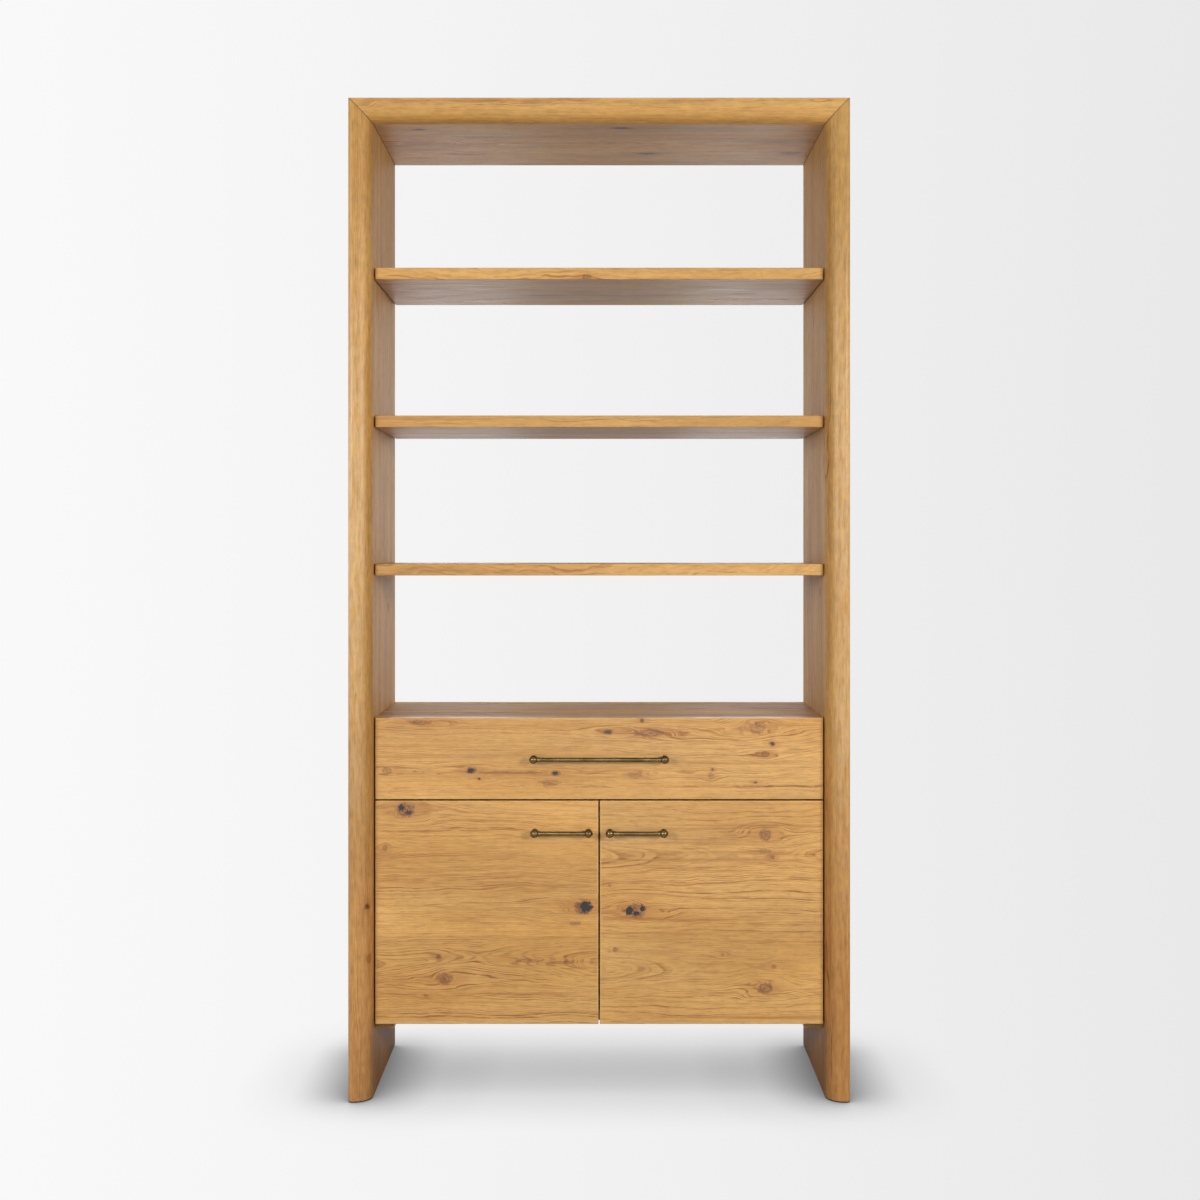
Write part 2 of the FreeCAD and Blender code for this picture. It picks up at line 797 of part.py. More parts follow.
box_x = (-box_half, box_half)
box_z = (box_low, box_high)

side_form = board("drawer_side_blank", (-box_half, s.box_wall - box_half), (face_back, box_back), box_z)
for y_end, y_root in (corner_front, corner_back):
    for lower, upper in zip([None] + tail_middles, tail_middles + [None]):
        cut_out(side_form, "YZ", waste_between(lower, upper, y_end, y_root), -inner, s.frame_thickness)
side_groove = rectangle(-bottom_half - s.groove_room, groove_z[0], -box_half + 2 * s.box_wall, groove_z[1])
cut_out(side_form, "XZ", side_groove, groove_y[0], groove_y[1] - groove_y[0])
drawer_side = node(drilled("drawer_side", side_form, [inner_holes]), "drawer_side_left")
node(mirrored("drawer_side_twin", drawer_side), "drawer_side_right")


def box_end(name, corner, y):
    """The front or back of the box, with sockets for the tails at both ends and a groove for the bottom."""
    body = board(name, box_x, y, box_z)
    for middle in tail_middles:
        cut_out(body, "YZ", tail(middle, *corner), -half_width, half_width - box_half + s.box_wall)
        cut_out(body, "YZ", tail(middle, *corner), box_half - s.box_wall, half_width)
    groove_path = rectangle(-bottom_half, groove_y[0], bottom_half, groove_y[1])
    cut_out(body, "XY", groove_path, groove_z[0], groove_z[1] - groove_z[0])
    return body


drawer_bolt = (*bolt_pair("drawer_bolt", s.front_thickness + s.box_wall), face_back + s.box_wall)
drawer_pull_level = s.cabinet_level - s.drawer_front_height / 2
drawer_pull, drawer_bolt_holes = pull(
    "drawer", "", as_size(0), drawer_pull_level, s.drawer_pull_span, drawer_bolt)

panel_screw_x = s.panel_screw_inset - box_half
panel_screw_rows = [bottom_high + s.panel_screw_margin, box_high - s.panel_screw_margin]
panel_spots = [(panel_screw_x, face_back + s.box_wall, level) for level in panel_screw_rows]
panel_holes = both_sides("panel_bores", copies("panel_bores_left", panel_screw_hole, panel_spots, "+Y"))
panel_screws = both_sides("panel_screws", copies("panel_screws_left", panel_screw, panel_spots, "+Y"))
node(panel_screws, "drawer_front_screws")

box_front_form = box_end("box_front_blank", corner_front, corner_front)
node(drilled("box_front", box_front_form, [panel_holes, drawer_bolt_holes]), "drawer_box_front")

node(box_end("box_back_blank", corner_back, corner_back[::-1]), "drawer_back")

bottom_y = (bottom_front, bottom_back)
node(board("bottom_panel", (-bottom_half, bottom_half), bottom_y, (bottom_low, bottom_high)), "drawer_bottom")

front_x = inner - s.reveal
front_z = (s.cabinet_level - s.drawer_front_height, s.cabinet_level)
drawer_front = board("drawer_front_blank", (-front_x, front_x), (face, face_back), front_z)
ease(drawer_front, s.front_ease, lambda box: box.YMax < face.value + NEAR)
node(drilled("drawer_front_drilled", drawer_front, [panel_holes, drawer_bolt_holes]), "drawer_front")


# Concealed hinges, each made about its own axis

def arm_form():
    """The goose-necked arm: an eye on the pin, a hook out of the cup and a tail along the side."""
    body = new_body("hinge_arm")
    thick = s.arm_thickness
    near, far = -thick / 2, thick / 2
    tail_x = s.plate_thickness - axis_inset - s.reveal
    path = [
        (0, near),
        (neck + thick, near),
        (neck + thick, crank + thick),
        (tail_x + thick, crank + thick),
        (tail_x + thick, arm_end),
        (tail_x, arm_end),
        (tail_x, crank),
        (neck, crank),
        (neck, far),
        (0, far),
    ]
    low = -s.arm_height / 2
    extrude(body, "XY", path, low, s.arm_height)
    bends = {(neck + thick).value: (near.value, (crank + thick).value), tail_x.value: (crank.value,)}

    def is_bend(box):
        rows = [y for x, ys in bends.items() for y in ys if abs(box.XMin - x) < NEAR]
        return box.ZLength > NEAR and box.YLength < NEAR and any(abs(box.YMin - y) < NEAR for y in rows)

    ease(body, s.arm_bend_radius, is_bend)
    cylinder(body, "Additive", (0, 0, low), "+Z", pin_bore + s.eye_wall, s.arm_height)
    cylinder(body, "Subtractive", (0, 0, low), "+Z", pin_bore, s.arm_height)
    return body


def plate_form():
    """The cross-shaped plate that the arm is fixed to on the side panel."""
    body = new_body("hinge_plate")
    low, high = crank + s.arm_thickness + s.plate_start, arm_end - s.plate_end
    wing_low, wing_high = plate_middle - s.plate_wing_width / 2, plate_middle + s.plate_wing_width / 2
    arm_half, wing_half = s.arm_height / 2, s.plate_wing_height / 2
    right = [(low, -arm_half), (wing_low, -arm_half), (wing_low, -wing_half)]
    right += [(wing_high, -wing_half), (wing_high, -arm_half), (high, -arm_half)]
    path = right + [(y, -z) for y, z in reversed(right)]
    extrude(body, "YZ", path, -axis_inset - s.reveal, s.plate_thickness)
    return body


def cup_form():
    """The cup let into the back of the door, with its winged flange and the bores for the pin."""
    body = new_body("hinge_cup")
    floor_y = axis_back - s.cup_depth
    wing = s.flange_wing_height / 2
    flange_path = rectangle(cup_x, -wing, cup_x + s.flange_wing_reach, wing)
    extrude(body, "XZ", flange_path, axis_back, s.flange_thickness)
    ease(body, s.flange_wing_radius, lambda box: box.YLength > NEAR)
    rim_radius = s.cup_radius + s.flange_rim
    cylinder(body, "Additive", (cup_x, axis_back, 0), "+Y", rim_radius, s.flange_thickness)
    cylinder(body, "Additive", (cup_x, floor_y, 0), "+Y", s.cup_radius, s.cup_depth)
    hollow = s.cup_radius - s.cup_wall
    cylinder(body, "Subtractive", (cup_x, floor_y + s.cup_floor, 0), "+Y", hollow, 2 * s.cup_depth)
    cylinder(body, "Subtractive", (0, 0, -s.cup_radius), "+Z", pin_bore, 2 * s.cup_radius)
    return body


neck = axis_back + s.flange_thickness + s.neck_room
crank = corner_sweep + s.hinge_room
arm_end = crank + s.arm_thickness + s.arm_length
plate_middle = (crank + s.arm_thickness + s.plate_start + arm_end - s.plate_end) / 2
pin_bore = s.pin_radius + s.pin_room
cup_x = s.cup_radius + s.cup_border - axis_inset
pin_edge = cup_x + s.pin_radius
pin_half = root(s.cup_radius * s.cup_radius - pin_edge * pin_edge) - s.pin_end_room
wing_screw_x = cup_x + s.flange_wing_reach / 2
wing_screw_z = (s.cup_radius + s.flange_rim + s.flange_wing_height / 2) / 2
plate_screw_z = (s.arm_height + s.plate_wing_height) / 4
plate_face = s.plate_thickness - axis_inset - s.reveal


def at_hinges(name, form):
    return copies(name, form, hinge_spots)


def hinge_screw_spots(x, y, z):
    """The two screws of each hinge, above and below its middle."""
    return [(axis_x + x, axis_y + y, level + side * z) for level in hinge_levels for side in (-1, 1)]


plate_spots = hinge_screw_spots(plate_face, plate_middle, plate_screw_z)
plate_holes = copies("hinge_plate_bores", short_screw_hole, plate_spots, "+X")
plates = drilled("hinge_plates", at_hinges("hinge_plate_blanks", plate_form()), [plate_holes])
left_plate_screws = copies("hinge_plate_screws_left", short_screw, plate_spots, "+X")
node(both_sides("hinge_plate_screws", left_plate_screws), "hinge_plate_screws")

cup_spots = hinge_screw_spots(wing_screw_x, axis_back + s.flange_thickness, wing_screw_z)
cup_holes = copies("hinge_cup_bores", short_screw_hole, cup_spots, "+Y")
cups = drilled("hinge_cups", at_hinges("hinge_cup_blanks", cup_form()), [cup_holes])
cup_screws = copies("hinge_cup_screws", short_screw, cup_spots, "+Y")
pins = at_hinges("hinge_pins", rod("hinge_pin", s.pin_radius, -pin_half, pin_half))
arms = at_hinges("hinge_arms", arm_form())


# Doors and their catches

door_bolt = (*bolt_pair("door_bolt", s.front_thickness), face_back)
door_x = (-front_x, -s.reveal / 2)
door_z = (s.underside_level, door_top)
door_blank = board("door_blank", door_x, (face, face_back), door_z)
ease(door_blank, s.front_ease, lambda box: box.YMax < face.value + NEAR)

recess_radius = s.cup_radius + s.cup_room
recess = rod("cup_recess", recess_radius, -overshoot, s.cup_depth + s.cup_room)
recess_spots = [(axis_x + cup_x, face_back, level) for level in hinge_levels]
recesses = copies("cup_recesses", recess, recess_spots, "-Y")

door_pull_middle = -s.door_pull_inset - s.door_pull_span / 2
door_pull_level = door_top - s.door_pull_drop
door_pull, door_bolt_holes = pull(
    "door", "_left", door_pull_middle, door_pull_level, s.door_pull_span, door_bolt)
for piece in door_pull:
    node(mirrored(f"{piece.Name}_twin", piece), piece.Label.replace("_left", "_right"))

strike_x = (-s.catch_offset - s.catch_width / 2, -s.catch_offset + s.catch_width / 2)
strike_z = (divider_low - s.strike_height, divider_low)
strike_back = face_back + s.strike_thickness
strike = board("strike", strike_x, (face_back, strike_back), strike_z)
catch_y = (strike_back + s.catch_room, face_back + s.catch_depth)
catch = board("catch", strike_x, catch_y, (divider_low - s.catch_height, divider_low))
node(both_sides("catches", catch), "door_catches")

door = drilled("door", door_blank, [recesses, cup_holes, door_bolt_holes])
paired = {
    "door": door,
    "hinge_arms": arms,
    "hinge_plates": plates,
    "hinge_cups": cups,
    "hinge_pins": pins,
    "hinge_cup_screws": cup_screws,
    "strike_plate": strike,
}
for label, piece in paired.items():
    node(piece, f"{label}_left")
    node(mirrored(f"{piece.Name}_twin", piece), f"{label}_right")


# Sides, bored for everything that they carry

side_holes = [
    *dowel_holes.values(),
    outer_holes,
    plate_holes,
    cleat_holes,
]
side = node(drilled("side", side_blank, side_holes), "side_panel_left")
node(mirrored("side_twin", side), "side_panel_right")


# Tests and files

doc.recompute()
for thing in doc.Objects:
    if {"Invalid", "Error"} & set(thing.State):
        raise RuntimeError(f"{thing.Label} failed: {thing.State}")
for piece in nodes:
    if piece.Shape.isNull() or not piece.Shape.isValid():
        raise RuntimeError(f"{piece.Label} is not a valid shape")
os.makedirs("parts", exist_ok=True)
for piece in nodes:
    piece.Shape.exportStep(os.path.join("parts", f"{piece.Label}.step"))
    print(piece.Label, len(piece.Shape.Solids), round(piece.Shape.Volume))
print(len(nodes), "pieces")
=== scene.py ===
import json
import math
from dataclasses import dataclass

import bpy
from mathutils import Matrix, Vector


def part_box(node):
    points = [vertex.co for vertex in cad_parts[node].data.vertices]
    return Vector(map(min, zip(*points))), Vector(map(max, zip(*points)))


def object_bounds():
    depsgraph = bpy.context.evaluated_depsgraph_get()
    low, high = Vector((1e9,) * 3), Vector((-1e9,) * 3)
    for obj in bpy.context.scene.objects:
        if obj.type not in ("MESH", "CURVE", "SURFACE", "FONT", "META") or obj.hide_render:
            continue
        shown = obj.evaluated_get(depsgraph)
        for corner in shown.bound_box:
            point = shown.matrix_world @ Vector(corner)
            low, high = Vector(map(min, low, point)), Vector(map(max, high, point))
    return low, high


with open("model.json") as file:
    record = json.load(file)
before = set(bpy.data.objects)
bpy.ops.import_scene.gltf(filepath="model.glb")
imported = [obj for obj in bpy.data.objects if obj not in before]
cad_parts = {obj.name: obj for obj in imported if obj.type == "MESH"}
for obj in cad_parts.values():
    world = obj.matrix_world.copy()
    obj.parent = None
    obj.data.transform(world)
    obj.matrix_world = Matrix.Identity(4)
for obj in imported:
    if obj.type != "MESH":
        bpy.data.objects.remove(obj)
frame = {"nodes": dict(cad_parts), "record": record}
cad_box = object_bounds()

# Colours are linear red, green and blue.
OAK = {
    "pale": (0.690, 0.393, 0.122),
    "body": (0.594, 0.304, 0.075),
    "late": (0.300, 0.112, 0.020),
    "streak": (0.320, 0.112, 0.024),
    "pore": (0.290, 0.112, 0.025),
    "halo": (0.390, 0.145, 0.032),
    "heart": (0.165, 0.060, 0.020),
    "knot": (0.050, 0.020, 0.010),
    "void": (0.012, 0.006, 0.004),
    # A painted grey sheen of reflected light, on faces turned away from the front
    "grey_sheen": (0.255, 0.160, 0.088),
    # The pale of rubbed corners, and of the painted highlight on front faces
    "rim": (0.740, 0.450, 0.165),
    # The pale of a painted highlight on the side panels' front corners
    "painted_highlight": (0.760, 0.540, 0.320),
}
BRASS = {"dark": (0.085, 0.057, 0.025), "bright": (0.165, 0.114, 0.050), "scratch": (0.330, 0.240, 0.110)}
ZINC = {"dull": (0.45, 0.46, 0.47), "bright": (0.66, 0.66, 0.65)}
PLASTIC = {"dark": (0.030, 0.024, 0.020), "worn": (0.062, 0.050, 0.042)}
RUBBER = {"dark": (0.020, 0.018, 0.017), "worn": (0.050, 0.045, 0.042)}

# Which frame axis runs along a board's grain, which across it and which through it
GRAIN = {
    "door": ("X", "Z", "Y"),
    "shelf": ("X", "Y", "Z"),
    "upright": ("Z", "Y", "X"),
    "rail": ("Y", "Z", "X"),
}
AXIS = {"X": 0, "Y": 1, "Z": 2}

# The parts of a noise's values that count: nearly all of them, and the middle ones
NOISE_BAND = (0.25, 0.75)
MIDDLE_BAND = (0.30, 0.70)


class Graph:
    """A material's node tree, made with short calls that take and give sockets or plain values."""

    def __init__(self, tree):
        self.tree = tree
        tree.nodes.clear()

    def node(self, kind, inputs=(), **settings):
        made = self.tree.nodes.new(f"ShaderNode{kind}")
        for name, value in settings.items():
            setattr(made, name, value)
        for key, value in dict(inputs).items():
            self.plug(made.inputs[key], value)
        return made

    def plug(self, socket, value):
        if isinstance(value, bpy.types.NodeSocket):
            self.tree.links.new(value, socket)
        elif hasattr(value, "__len__") and len(value) == 3 and socket.type == "RGBA":
            socket.default_value = (*value, 1)
        else:
            socket.default_value = value

    def math(self, operation, *values):
        return self.node("Math", enumerate(values), operation=operation).outputs[0]

    def fold(self, operation, values):
        """One value from many, such as their sum (ADD), their product (MULTIPLY) or the largest (MAXIMUM)."""
        result, *others = values
        for value in others:
            result = self.math(operation, result, value)
        return result

    def vector(self, operation, *values):
        made = self.node("VectorMath", enumerate(values), operation=operation)
        return made.outputs["Value" if operation == "LENGTH" else "Vector"]

    def join(self, x, y, z):
        return self.node("CombineXYZ", {"X": x, "Y": y, "Z": z}).outputs[0]

    def noise(self, vector, detail=2.0, roughness=0.5):
        inputs = {"Vector": vector, "Scale": 1.0, "Detail": detail, "Roughness": roughness}
        return self.node("TexNoise", inputs).outputs["Fac"]

    def spots(self, place, waves, detail=2.0):
        """Noise with so many waves per metre along each axis."""
        return self.noise(self.vector("MULTIPLY", place, waves), detail)

    def random(self, number):
        return self.node("TexWhiteNoise", {"W": number}, noise_dimensions="1D").outputs["Value"]

    def remap(self, value, low, high, to_low=0.0, to_high=1.0, step="SMOOTHSTEP"):
        names = ("Value", "From Min", "From Max", "To Min", "To Max")
        inputs = dict(zip(names, (value, low, high, to_low, to_high)))
        return self.node("MapRange", inputs, interpolation_type=step).outputs[0]

    def mix(self, share, first, second, blend="MIX"):
        made = self.node("Mix", data_type="RGBA", blend_type=blend)
        for index, value in ((0, share), (6, first), (7, second)):
            self.plug(made.inputs[index], value)
        return made.outputs[2]

    def finish(self, inputs, bump):
        """Closes a surface with a Principled shader; bump is (height socket, strength, distance)."""
        shader = self.node("BsdfPrincipled", inputs)
        height, strength, distance = bump
        bumped = self.node("Bump", {"Height": height, "Strength": strength, "Distance": distance})
        self.plug(shader.inputs["Normal"], bumped.outputs[0])
        output = self.node("OutputMaterial")
        self.plug(output.inputs["Surface"], shader.outputs[0])


def new_material(name):
    material = bpy.data.materials.new(name)
    material.use_nodes = True
    return material, Graph(material.node_tree)


# Oak

@dataclass
class Pattern:
    """Noise in the wood: its waves per metre along the grain and across it, the band of its values that
    counts, and what the ends of that band become."""
    along: float
    across: float
    band: tuple
    becomes: tuple = (0.0, 1.0)
    detail: float = 2.0
    roughness: float = 0.5
    step: str = "SMOOTHSTEP"


@dataclass
class Plank:
    """A plank of a board. The tree's heart runs under it at `heart` across the grain, deepest at `peak`
    along it and rising by `slope` to either side. The plank ends at `end` across the grain, and `strong`
    scales how dark its rings and streaks are."""
    heart: float
    peak: float = 0.0
    depth: float = 0.06
    slope: float = 0.05
    tone: float = 1.0
    end: float = None
    strong: float = 1.0


@dataclass
class Knot:
    """A knot in a board: its place along and across the grain, its half sizes, how dark and how open it is,
    and its place through the grain where it doesn't run right through. One that isn't dark is only a hole."""
    along: float
    across: float
    long: float
    wide: float
    dark: float = 0.6
    void: float = 0.0
    deep: float = None


PATTERNS = {
    # How far the rings stray, in metres
    "bend": Pattern(1.6, 3.0, NOISE_BAND, (-0.016, 0.016), step="LINEAR"),
    "wander": Pattern(6.0, 14.0, NOISE_BAND, (-0.0045, 0.0045), step="LINEAR"),
    "ripple": Pattern(16.0, 34.0, NOISE_BAND, (-0.0022, 0.0022), step="LINEAR"),
    "sink": Pattern(5.0, 4.0, NOISE_BAND, (-0.006, 0.006), step="LINEAR"),
    # How boldly the rings are drawn
    "bold": Pattern(2.4, 8.0, (0.34, 0.70), (0.38, 1.25), detail=3.0),
    "broken": Pattern(24.0, 170.0, (0.34, 0.62), (0.30, 1.0)),
    # Shares of other colours
    "cloud": Pattern(1.8, 8.0, MIDDLE_BAND, detail=4.0, roughness=0.55),
    "streak": Pattern(1.3, 46.0, (0.55, 0.76), (0.0, 0.46), detail=3.0, roughness=0.6),
    "hair": Pattern(5.0, 300.0, (0.46, 0.76), (0.0, 0.36), detail=3.0, roughness=0.6),
    "dash": Pattern(17.0, 230.0, (0.54, 0.74), (0.0, 0.50), roughness=0.6),
    "pore": Pattern(70.0, 1000.0, (0.56, 0.70), (0.0, 0.55), detail=1.0),
    # The streaks of the painted grey sheen
    "dull": Pattern(1.6, 24.0, (0.46, 0.72), detail=4.0, roughness=0.6),
    # The mottling of the painted highlight on the side panels' front corners
    "painted_highlight": Pattern(30.0, 160.0, (0.34, 0.66), detail=3.0),
    # Lighter and darker places, and glossier ones
    "fleck": Pattern(40.0, 120.0, (0.32, 0.68), (-1.0, 1.0), step="LINEAR"),
    "shade": Pattern(1.5, 5.0, (0.32, 0.68), (0.89, 1.11), step="LINEAR"),
    "patchy": Pattern(9.0, 60.0, MIDDLE_BAND, (-0.05, 0.05), detail=3.0, step="LINEAR"),
}

# How far along its grain each board's seed moves the patterns, in metres, and its rings' random numbers
SEED_SHIFT = 7.3
SEED_RINGS = 17.0

# Rings: how rounded the peak of the heart's line is and how near the face it comes, in metres; how unevenly
# the rings are spaced, in rings; the faintest ring; and where its late wood starts, is darkest and ends
PEAK_ROUNDING = 0.04
SHALLOWEST = 0.003
UNEVEN = 0.9
FAINTEST = 0.18
LATE_START, LATE_DARKEST, LATE_END = 0.30, 0.86, 1.0

# Pores: between which parts of a ring they grow dense, and their share where they are sparse
PORES_DENSE = (0.2, 0.9)
PORES_SPARSE = 0.35

# A knot's effects: the distance from its middle where each is full, where it ends, and how strong it is.
# Distances are in the knot's half sizes.
KNOT_EFFECT = {
    "push": (0.6, 4.0, 0.88),
    "stir": (1.0, 5.0, 0.90),
    "halo": (0.8, 1.9, 0.60),
    "heart": (0.62, 1.12, 1.25),
    "bark": (0.02, 0.20, 0.80),
    "void": (0.52, 0.62, 1.0),
}
# A knot's uneven outline: waves per metre and how far they reach, in half sizes
KNOT_COARSE = (110.0, 0.30)
KNOT_FINE = (420.0, 0.26)
# The share of the distance along the grain that counts, the swirls in the heart, and where the bark lies
KNOT_STRETCH = 0.5
KNOT_SWIRLS = 12.0
KNOT_BARK = 0.88
# Which fine waves let the bark through, and its share where they don't
BARK_SPECKLE = (-0.12, 0.16)
BARK_LEAST = 0.05

# Relief beside a pore's depth of 1: how far late wood rises and voids sink; the bump's strength and distance
LATE_RISE = 0.4
VOID_DEPTH = 3.0
OAK_BUMP = (0.35, 0.0006)

# How squarely a face looks to the front, from 0 to 1: where it counts as turned away and as the front
TURNED_AWAY = (0.1, 0.6)
FRONT = (0.6, 0.9)
# How far front faces are painted paler, as a highlight
FRONT_PAINTED_HIGHLIGHT = 0.16

# A side panel's painted light and finish, in metres: the front corner, painted pale as a highlight at the
# heights where the lamps' sheen falls; the satin front edge; the inner half, painted dark as shade under the
# cabinet; and the lower end, painted darker and redder as shade towards the floor
FRONT_EDGE = cad_box[0][1]
PAINTED_HIGHLIGHT_DEPTH = (FRONT_EDGE + 0.0005, FRONT_EDGE + 0.013)
PAINTED_HIGHLIGHT_SHARE = 0.30
PAINTED_HIGHLIGHT_FROM, PAINTED_HIGHLIGHT_TO = (0.25, 0.85), (1.5, 2.0)
SATIN_DEPTH = (FRONT_EDGE + 0.013, FRONT_EDGE + 0.043)
SATIN_GLOSS = 0.36
PAINTED_SHADE_HEIGHT = (0.14, 0.20)
PAINTED_SHADE_SHARE = 0.40
INNER_BLEND = 0.012
PAINTED_FALLOFF_HEIGHTS = (0.0, 1.0)
PAINTED_FALLOFF_TINT = (0.84, 0.71, 0.70)

# A panel's rubbed corners and its narrow sides, darkened as painted shade in the gaps, in metres: how far in
# from its sides they reach and how deep
RIM_REACH = (0.0005, 0.0045)
RIM_DEPTH = (0.002, 0.005)
RIM_SHARE = 0.75
RIM_WAVES = (35.0, 35.0, 35.0)
RIM_PATCHES = (0.3, 0.6)
RIM_LEAST = 0.3
GAP_SHADE_REACH = (0.0002, 0.0010)
GAP_SHADE_SHARE = 0.60

# The glue line in a mitre: its half width from core to edge, in metres
MITRE_WIDTH = (0.0006, 0.0022)
MITRE_SHARE = 0.60


class Wood:
    """One board's oak while it is made: its nodes, and each point's place along, across and through
    the grain."""

    def __init__(self, name, grain, planks, seed):
        self.material, self.graph = new_material(name)
        self.planks, self.seed = planks, seed
        self.place = self.graph.node("TexCoord").outputs["Object"]
        self.parts = self.graph.node("SeparateXYZ", {0: self.place}).outputs
        self.along, self.across, self.deep = (self.parts[AXIS[letter]] for letter in GRAIN[grain])
        self.shifted = self.graph.math("ADD", self.along, SEED_SHIFT * seed)
        self.beyond = [self.graph.math("GREATER_THAN", self.across, plank.end) for plank in planks[:-1]]

    def by_plank(self, trait):
        """A trait's value, such as the tone, in the plank that holds each point."""
        values = [getattr(plank, trait) for plank in self.planks]
        result = values[0]
        for past, value, before in zip(self.beyond, values[1:], values):
            result = self.graph.math("ADD", result, self.graph.math("MULTIPLY", past, value - before))
        return result

    def pattern(self, name, scale=1.0):
        """One of PATTERNS, laid along the grain; scale multiplies what it becomes."""
        made = PATTERNS[name]
        spot = self.graph.join(self.graph.math("MULTIPLY", self.shifted, made.along),
                               self.graph.math("MULTIPLY", self.across, made.across),
                               self.graph.math("MULTIPLY", self.deep, made.across))
        noise = self.graph.noise(spot, made.detail, made.roughness)
        low, high = made.becomes
        return self.graph.remap(noise, *made.band, scale * low, scale * high, made.step)

    def facing(self):
        """How squarely each face looks to the front or the back, from 0 to 1."""
        normal = self.graph.node("NewGeometry").outputs["Normal"]
        return self.graph.math("ABSOLUTE", self.graph.node("SeparateXYZ", {0: normal}).outputs["Y"])


def knot_effects(wood, knots):
    """What the knots do to a board: how far they push the grain aside, how much they stir it up, and the
    shares of their halo, heart, bark and void."""
    graph = wood.graph

    def wobble(waves, reach):
        places = (wood.along, wood.across, wood.deep)
        spot = graph.join(*(graph.math("MULTIPLY", place, waves) for place in places))
        return graph.remap(graph.noise(spot, 3.0, 0.6), *NOISE_BAND, -reach, reach, "LINEAR")

    def fade(effect, distance, strength=1.0):
        full, end, most = KNOT_EFFECT[effect]
        return graph.remap(distance, full, end, most * strength, 0.0)

    coarse, fine = wobble(*KNOT_COARSE), wobble(*KNOT_FINE)
    found = {effect: [] for effect in KNOT_EFFECT}
    for knot in knots:
        run = graph.math("DIVIDE", graph.math("SUBTRACT", wood.along, knot.along), knot.long)
        side = graph.math("SUBTRACT", wood.across, knot.across)
        rise = graph.math("DIVIDE", side, knot.wide)
        through = 0.0
        if knot.deep is not None:
            through = graph.math("DIVIDE", graph.math("SUBTRACT", wood.deep, knot.deep), knot.wide)
        rough = graph.math("ADD", graph.vector("LENGTH", graph.join(run, rise, through)), coarse)
        if knot.void:
            found["void"].append(fade("void", graph.math("ADD", rough, fine), knot.void))
        if not knot.dark:
            continue
        stretched = graph.join(graph.math("MULTIPLY", run, KNOT_STRETCH), rise, through)
        reach = graph.vector("LENGTH", stretched)
        found["push"].append(graph.math("MULTIPLY", side, fade("push", reach)))
        found["stir"].append(fade("stir", reach, knot.dark))
        found["halo"].append(fade("halo", reach, knot.dark))
        swirls = graph.math("SINE", graph.math("MULTIPLY", rough, KNOT_SWIRLS))
        swirls = graph.remap(swirls, -1.0, 1.0, 0.5, 1.0)
        found["heart"].append(graph.math("MULTIPLY", swirls, fade("heart", rough, knot.dark)))
        from_bark = graph.math("ABSOLUTE", graph.math("SUBTRACT", rough, KNOT_BARK))
        found["bark"].append(fade("bark", from_bark, knot.dark))
    effects = {"fine": fine}
    for effect, values in found.items():
        if values:
            effects[effect] = graph.fold("ADD" if effect == "push" else "MAXIMUM", values)
    return effects


def growth_rings(wood, effects, face, spacing, figure):
    """Rings counted by each point's distance from the tree's heart: the share of dark late wood, and how far
    through its ring the point lies."""
    graph = wood.graph
    side = graph.fold("ADD", [wood.across, *(wood.pattern(name) for name in ("bend", "wander", "ripple"))])
    if effects:
        side = graph.math("SUBTRACT", side, effects["push"])
    side = graph.math("SUBTRACT", side, wood.by_plank("heart"))
    run = graph.math("SUBTRACT", wood.along, wood.by_plank("peak"))
    run = graph.math("SQRT", graph.math("ADD", graph.math("MULTIPLY", run, run), PEAK_ROUNDING ** 2))
    sunk = graph.math("SUBTRACT", wood.by_plank("depth"), graph.math("MULTIPLY", run, wood.by_plank("slope")))
    sunk = graph.math("MAXIMUM", sunk, SHALLOWEST)
    sunk = graph.fold("ADD", [sunk, wood.pattern("sink"), wood.deep, -face])
    count = graph.math("DIVIDE", graph.vector("LENGTH", graph.join(side, sunk, 0.0)), spacing)
    uneven = graph.remap(graph.noise(graph.join(count, wood.seed, 0.0)), *NOISE_BAND, -UNEVEN, UNEVEN)
    count = graph.math("ADD", count, uneven)
    phase = graph.math("FRACT", count)
    strength = graph.random(graph.math("ADD", graph.math("FLOOR", count), SEED_RINGS * wood.seed))
    strength = graph.remap(strength, 0.0, 1.0, FAINTEST, 1.0, "LINEAR")
    line = graph.math("MULTIPLY", graph.remap(phase, LATE_START, LATE_DARKEST),
                      graph.remap(phase, LATE_DARKEST, LATE_END, 1.0, 0.0))
    bold = graph.math("MULTIPLY", wood.pattern("bold", figure), wood.by_plank("strong"))
    if effects:
        bold = graph.math("ADD", bold, effects["stir"])
    return graph.fold("MULTIPLY", [line, strength, bold, wood.pattern("broken")]), phase


def grain_colour(wood, late, phase, figure):
    """The colour of cloudy wood with its rings, streaks, hair lines and pores, and the share of pores."""
    graph = wood.graph
    colour = graph.mix(wood.pattern("cloud"), OAK["body"], OAK["pale"])
    colour = graph.mix(late, colour, OAK["late"])
    streak = graph.math("MULTIPLY", wood.pattern("streak", figure), wood.by_plank("strong"))
    colour = graph.mix(streak, colour, OAK["streak"])
    pores = graph.math("MULTIPLY", wood.pattern("pore"), graph.remap(phase, *PORES_DENSE, PORES_SPARSE, 1.0))
    marks = graph.fold("MAXIMUM", [pores, wood.pattern("hair"), wood.pattern("dash")])
    return graph.mix(marks, colour, OAK["pore"]), pores


